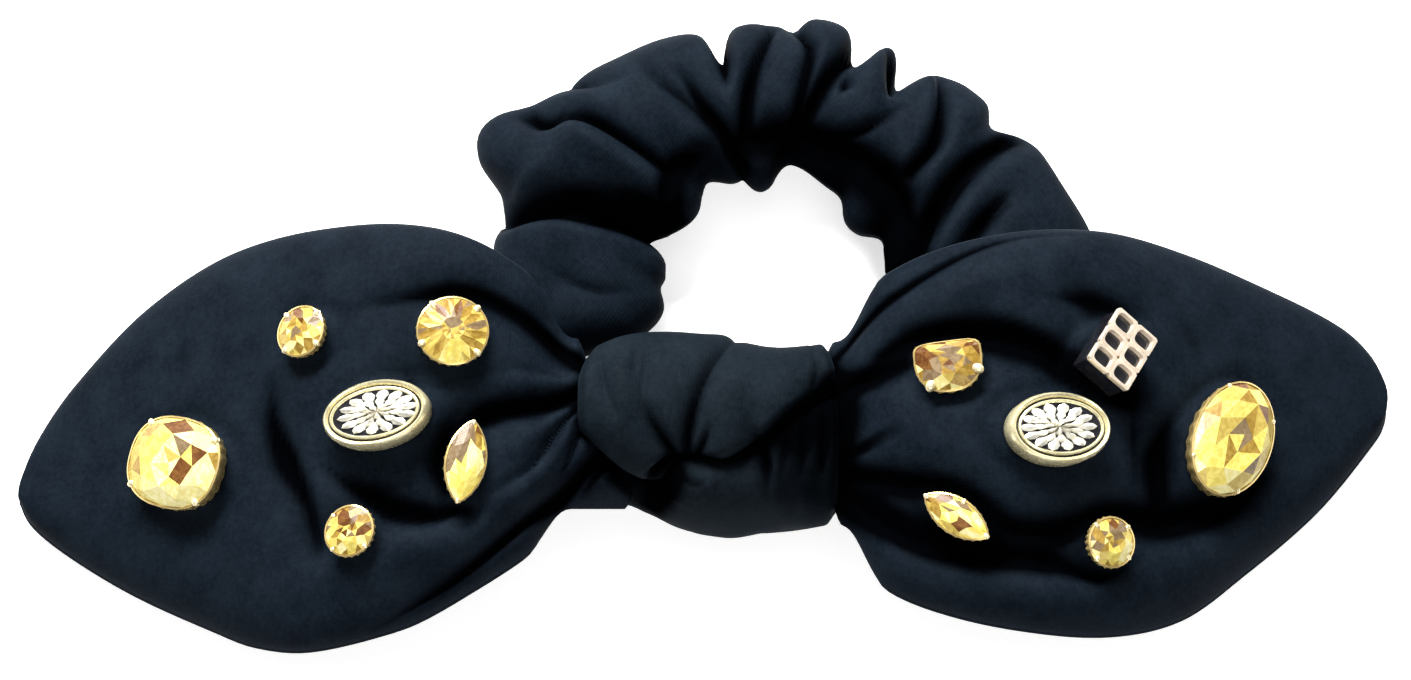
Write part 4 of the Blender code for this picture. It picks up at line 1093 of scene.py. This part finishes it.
def add_claw(builder, x, y, girdle, size, surface_index):
    """One prong: a stem up the cup's side and a rounded pad over the stone's edge."""
    out = Vector((x, y, 0)).normalized()
    turned = Matrix.Rotation(math.atan2(out.y, out.x), 4, "Z")
    pad_at = Matrix.Translation(Vector((x, y, girdle + 0.35 * size)) - out * 0.25 * size)
    pad_size = Matrix.Diagonal((size, 0.72 * size, 0.55 * size, 1))
    add_ball(builder, pad_at @ turned @ pad_size, surface_index)
    foot = Vector((x, y, 0)) - out * 0.0009
    head = Vector((x, y, girdle)) + out * 0.2 * size
    lean = (head - foot).to_track_quat("Z", "Y").to_matrix().to_4x4()
    stem = bmesh.ops.create_cone(builder, cap_ends=True, segments=10, radius1=0.30 * size,
                                 radius2=0.55 * size, depth=(head - foot).length,
                                 matrix=Matrix.Translation((head + foot) / 2) @ lean)
    for vert in stem["verts"]:
        for face in vert.link_faces:
            face.material_index = surface_index


def make_setting(name, cut, girdle, claws, claw_size):
    """A thin cup, ribbed round its side, with its claws."""
    owner, spot, turn, half_l, half_w = SEATS[name]
    half_l, half_w = half_l + STONE_PROUD, half_w + STONE_PROUD
    count = 96
    rows = [(-0.0010, 0.0), (-0.0001, 0.35 * girdle), (0.0001, 0.8 * girdle),
            (RIM_WALL, girdle - 0.0003), (RIM_WALL, girdle + 0.0001), (0.0, girdle + 0.0002),
            (-0.0001, girdle - 0.0002), (-0.0008, 0.0005)]
    builder = bmesh.new()
    loops = []
    for offset, z in rows:
        made = []
        for k in range(count):
            angle = 2 * math.pi * k / count
            x, y = cut(angle)
            on_side = 0 < z < 0.9 * girdle and offset > -0.0005
            step = offset + (0.00012 * math.cos(24 * angle) if on_side else 0.0)
            made.append(builder.verts.new(((half_l + step) * x, (half_w + step) * y, z)))
        loops.append(made)
    join_loops(builder, loops)
    builder.faces.new(loops[0])
    builder.faces.new(loops[-1])
    for degrees in claws:
        x, y = cut(math.radians(degrees - turn))
        add_claw(builder, half_l * x, half_w * y, girdle, claw_size, 1)
    place = owner.seat(*spot, turn)
    setting = add_built(name + "_claw_cup", builder, [gold, claw_gold], place, smooth=40)
    finish_jewel(setting, owner, "gold_plate", name + "_setting")


# name: (cut, corners, table's share of the half width, girdle height, weights of the tints
#        from brown to cream as painted reflections, claw angles in degrees, claw size, seed)
STONES = {
    "left_upper_round": (oval, 10, 0.50, 0.0018, (2, 4, 5, 4, 3, 3), (40, 130, 225, 320), 0.00052, 4),
    "left_neck_round": (oval, 16, 0.34, 0.0020, (1, 3, 6, 5, 3, 1), (45, 128, 205, 318), 0.00058, 11),
    "left_marquise": (marquise, 8, 0.55, 0.0018, (1, 3, 1, 3, 5, 4), (74, 254), 0.00036, 6),
    "left_cushion": (cushion, 8, 0.62, 0.0026, (0, 1, 1, 3, 6, 6), (25, 118, 205, 300), 0.00062, 9),
    "left_lower_round": (oval, 10, 0.48, 0.0018, (3, 3, 4, 3, 4, 3), (45, 135, 225, 315), 0.00036, 21),
    "right_half_moon": (half_moon, 10, 0.55, 0.0020, (3, 3, 4, 4, 3, 2), (-20, 240), 0.00084, 14),
    "right_marquise": (marquise, 8, 0.55, 0.0018, (1, 1, 1, 3, 5, 5), (58, -33, 147), 0.00044, 5),
    "right_lower_round": (oval, 10, 0.50, 0.0018, (2, 3, 4, 4, 4, 3), (40, 135, 225, 320), 0.00042, 30),
    "right_big_oval": (oval, 8, 0.66, 0.0024, (0, 1, 3, 6, 8, 4), (10, 100, 190, 280), 0.00040, 17),
}
# Painted reflections: spots of one tint on a stone, in mm: (right of its middle, up from it, radius,
# tint).
SPOTS = {
    "left_neck_round": [(0, 1.3, 1.3, MAUVE), (0.2, -2.8, 1.4, YELLOW)],
    "left_marquise": [(-0.4, 2.6, 1.6, MAUVE), (0.9, 1.2, 0.9, CREAM), (0.1, -2.6, 1.6, YELLOW)],
    "left_cushion": [(-4.0, 1.2, 1.1, MAUVE), (-2.2, -0.8, 0.8, GOLD), (2.6, 1.6, 1.1, MAUVE),
                     (2.8, -1.6, 1.2, BROWN), (4.6, -0.4, 1.0, BROWN)],
    "left_lower_round": [(-0.4, 1.4, 1.0, BROWN), (0.2, -1.8, 1.0, YELLOW)],
    "right_half_moon": [(-3.0, 0.2, 1.3, BROWN), (0.2, 0.6, 1.0, MAUVE), (1.6, -1.8, 1.3, GOLD)],
    "right_marquise": [(0.4, -0.9, 0.9, BROWN), (-2.4, 1.2, 0.9, GOLD)],
    "right_lower_round": [(0.3, 1.2, 1.0, MAUVE), (0.2, -1.6, 0.9, YELLOW)],
    "right_big_oval": [(1.3, 0.5, 1.5, MAUVE), (-2.8, -3.4, 1.3, GOLD), (1.6, -4.2, 1.2, MAUVE)],
}


def make_jewels():
    """All the cut stones in their settings."""
    for name, (cut, corners, table, girdle, weights, claws, size, seed) in STONES.items():
        make_stone(name, cut, corners, table, girdle, weights, seed)
        make_setting(name, cut, girdle, claws, size)


def oval_stack(builder, half_l, half_w, rows):
    """A closed solid of stacked oval loops; a row is (step outwards, height, surface above it)."""
    count = 72
    loops = []
    for step, z, _ in rows:
        made = []
        for k in range(count):
            x, y = oval(2 * math.pi * k / count)
            made.append(builder.verts.new(((half_l + step) * x, (half_w + step) * y, z)))
        loops.append(made)
    for k, (_, _, index) in enumerate(rows[:-1]):
        join_loops(builder, loops[k:k + 2], index)
    builder.faces.new(loops[0])
    builder.faces.new(loops[-1]).material_index = rows[-1][2]


# Petals in a ring: (count, turn in petals, inner and outer reach, half width in radians, rise).
PETAL_RINGS = [(14, 0.0, 0.44, 0.98, 0.205, 0.0005), (11, 0.4, 0.22, 0.66, 0.24, 0.0007),
               (7, 0.2, 0.02, 0.36, 0.36, 0.0009)]


def add_petal(builder, centre, half_l, half_w, angle, inner, outer, width, rise):
    """One pointed petal of an oval bloom, with a raised middle line."""
    def spot(turn, reach, z):
        return builder.verts.new((centre[0] + half_l * reach * math.cos(angle + turn),
                                  centre[1] + half_w * reach * math.sin(angle + turn), z))
    base = BEAD_FIELD_Z
    span = outer - inner
    marks = [(0.0, 0.0), (0.28, 0.75), (0.58, 1.0), (0.84, 0.62), (1.0, 0.0)]
    ridge = [spot(0.0, inner + span * f, base + rise * (0.55 + 0.45 * math.sin(math.pi * f)))
             for f, _ in marks]
    for sign in (-1, 1):
        rim = [spot(sign * width * w, inner + span * f, base + 0.35 * rise) for f, w in marks]
        foot = [spot(sign * width * w, inner + span * f, base - 0.0001) for f, w in marks]
        for k in range(len(marks) - 1):
            builder.faces.new((ridge[k], ridge[k + 1], rim[k + 1], rim[k]))
            builder.faces.new((rim[k], rim[k + 1], foot[k + 1], foot[k]))


def make_emblem(name, lean):
    """An oval bead: pale gold rim, black line, inner gold ring, black field and raised bloom. The
    bloom's middle stands a little off the bead's, by lean."""
    owner, spot, turn, half_l, half_w = SEATS[name]
    place = owner.seat(*spot, turn)
    body = bmesh.new()
    gold_band, black_band = 0, 1
    oval_stack(body, half_l, half_w, [
        (-0.0006, 0.0, gold_band), (0.0, 0.0007, gold_band), (0.00005, 0.0022, gold_band),
        (-0.0001, 0.0029, gold_band), (-0.00035, 0.0033, gold_band), (-0.0006, 0.0032, gold_band),
        (-0.00075, 0.0028, black_band), (-0.00098, 0.0028, gold_band), (-0.0010, 0.0031, gold_band),
        (-0.0012, 0.0032, gold_band), (-0.0014, 0.0030, black_band),
        (-0.00145, BEAD_FIELD_Z, black_band)])
    body_piece = add_built(name + "_bead", body, [pale_gold, black_enamel], place, smooth=50)
    finish_jewel(body_piece, owner, "pale_gold", name + "_body", name + "_field")
    bloom = bmesh.new()
    reach_l, reach_w = half_l - 0.0014, half_w - 0.0014
    for count, shift, inner, outer, width, rise in PETAL_RINGS:
        for k in range(count):
            angle = 2 * math.pi * (k + shift) / count
            add_petal(bloom, (lean, 0.0), reach_l, reach_w, angle, inner, outer, width, rise)
    bloom_piece = add_built(name + "_bloom", bloom, [ivory_gold], place, smooth=30)
    finish_jewel(bloom_piece, owner, "pale_gold", name + "_flower")


def square(angle):
    """A square with sharp corners."""
    x, y = oval(angle)
    most = max(abs(x), abs(y))
    return x / most, y / most


def window(angle):
    """A square with round corners."""
    c, s = oval(angle)
    return math.copysign(abs(c) ** 0.55, c), math.copysign(abs(s) ** 0.55, s)


def add_window_cell(plate, middle, half_l, half_w, low, high):
    """One cell of the charm's plate: a square frame round a round-cornered window."""
    count, bar = 32, 0.00038
    loops = []
    for outline, inset, z in ((square, 0, low), (square, 0, high - 0.0001), (square, 0.00006, high),
                              (window, bar, high), (window, bar + 0.0001, low)):
        made = []
        for k in range(count):
            x, y = outline(2 * math.pi * (k + 0.5) / count)
            spot = Vector((x * (half_l - inset), y * (half_w - inset), z))
            made.append(plate.verts.new(middle + spot))
        loops.append(made)
    join_loops(plate, loops)


def make_charm():
    """A black enamel block with a pale rose plate of windows, a little wider than the block."""
    name = "right_charm"
    owner, spot, turn, _, _ = SEATS[name]
    place = owner.seat(*spot, turn)
    half_l, half_w, height = 0.0042, 0.0032, 0.0036
    block = bmesh.new()
    bmesh.ops.create_cube(block, size=1.0, matrix=Matrix.Translation((0, 0, height / 2))
                          @ Matrix.Diagonal((2 * half_l, 2 * half_w, height, 1)))
    bmesh.ops.bevel(block, geom=list(block.edges), offset=0.00035, segments=3, affect="EDGES",
                    profile=0.6)
    block_piece = add_built(name + "_enamel_block", block, [black_enamel], place, smooth=40)
    finish_jewel(block_piece, owner, "black_enamel", name + "_block")

    plate = bmesh.new()
    columns, rows = 3, 2
    plate_l, plate_w = half_l + 0.0001, half_w + 0.0001
    cell_l, cell_w = plate_l / columns, plate_w / rows
    for i in range(columns):
        for j in range(rows):
            middle = Vector(((2 * i + 1) * cell_l - plate_l, (2 * j + 1) * cell_w - plate_w, 0))
            add_window_cell(plate, middle, cell_l, cell_w, height, height + 0.0007)
    plate_piece = add_built(name + "_window_plate", plate, [rose_gold], place, smooth=35)
    finish_jewel(plate_piece, owner, "rose_gold_plate", name + "_plate")


# ---------------- stage

def area_light(name, spot, target, size, power, colour=(1, 1, 1)):
    """A soft rectangular light aimed at a point."""
    data = bpy.data.lights.new(name, "AREA")
    data.shape = "RECTANGLE"
    data.size, data.size_y = size
    data.energy = power
    data.color = colour
    made = bpy.data.objects.new(name, data)
    bpy.context.scene.collection.objects.link(made)
    made.location = spot
    made.rotation_euler = (Vector(target) - Vector(spot)).to_track_quat("-Z", "Y").to_euler()


def make_camera():
    """The camera, at the angle and distance of the photograph."""
    lift, distance = math.radians(75), 0.427
    target = Vector((0, 0.0126, 0.0140))
    behind = Vector((0, -math.cos(lift), math.sin(lift)))
    data = bpy.data.cameras.new("camera")
    data.lens = 85
    data.sensor_width = 36
    camera = bpy.data.objects.new("camera", data)
    bpy.context.scene.collection.objects.link(camera)
    camera.location = target + behind * distance
    camera.rotation_euler = behind.to_track_quat("Z", "Y").to_euler()
    bpy.context.scene.camera = camera


def make_stage():
    """The floor, the lights and the world."""
    reach = 1.5
    paper = plain_noise("pale_floor", (0.86,) * 3, (0.90,) * 3, 3.0, 0.9, 0)
    glow = paper.node_tree.nodes["Principled BSDF"]
    glow.inputs["Emission Color"].default_value = (1, 1, 1, 1)
    glow.inputs["Emission Strength"].default_value = 0.65
    corners = [(-reach, -reach, 0), (reach, -reach, 0), (reach, reach, 0), (-reach, reach, 0)]
    floor = add_mesh("floor", corners, [(0, 1, 2, 3)], paper, smooth=False)
    area_light("key", (-0.16, 0.56, 0.50), (0, 0.01, 0.01), (0.46, 0.30), 19.0, (1.0, 0.99, 0.97))
    area_light("fill", (0.10, -0.45, 0.52), (0, 0, 0.01), (0.4, 0.3), 1.7, (1.0, 0.99, 0.97))
    area_light("top", (0.0, 0.22, 0.80), (0, 0.01, 0.01), (0.70, 0.70), 1.9)

    world = bpy.data.worlds.new("studio")
    bpy.context.scene.world = world
    world.use_nodes = True
    tree = world.node_tree
    back = tree.nodes["Background"]
    back.inputs["Strength"].default_value = 0.22
    back.inputs["Color"].default_value = (1, 1, 1, 1)
    view = bpy.context.scene.view_settings
    view.view_transform = "Standard"
    view.look = "None"


# ---------------- assembly

make_stage()
make_camera()
make_wing(left, LEFT_FOLDS, 3)
make_wing(right, RIGHT_FOLDS, 8)
make_knot()
make_back_band()
make_core()
make_sleeve()
make_gathered_core()
make_elastic()
make_jewels()
make_emblem("left_emblem", 0.0004)
make_emblem("right_emblem", -0.0004)
make_charm()
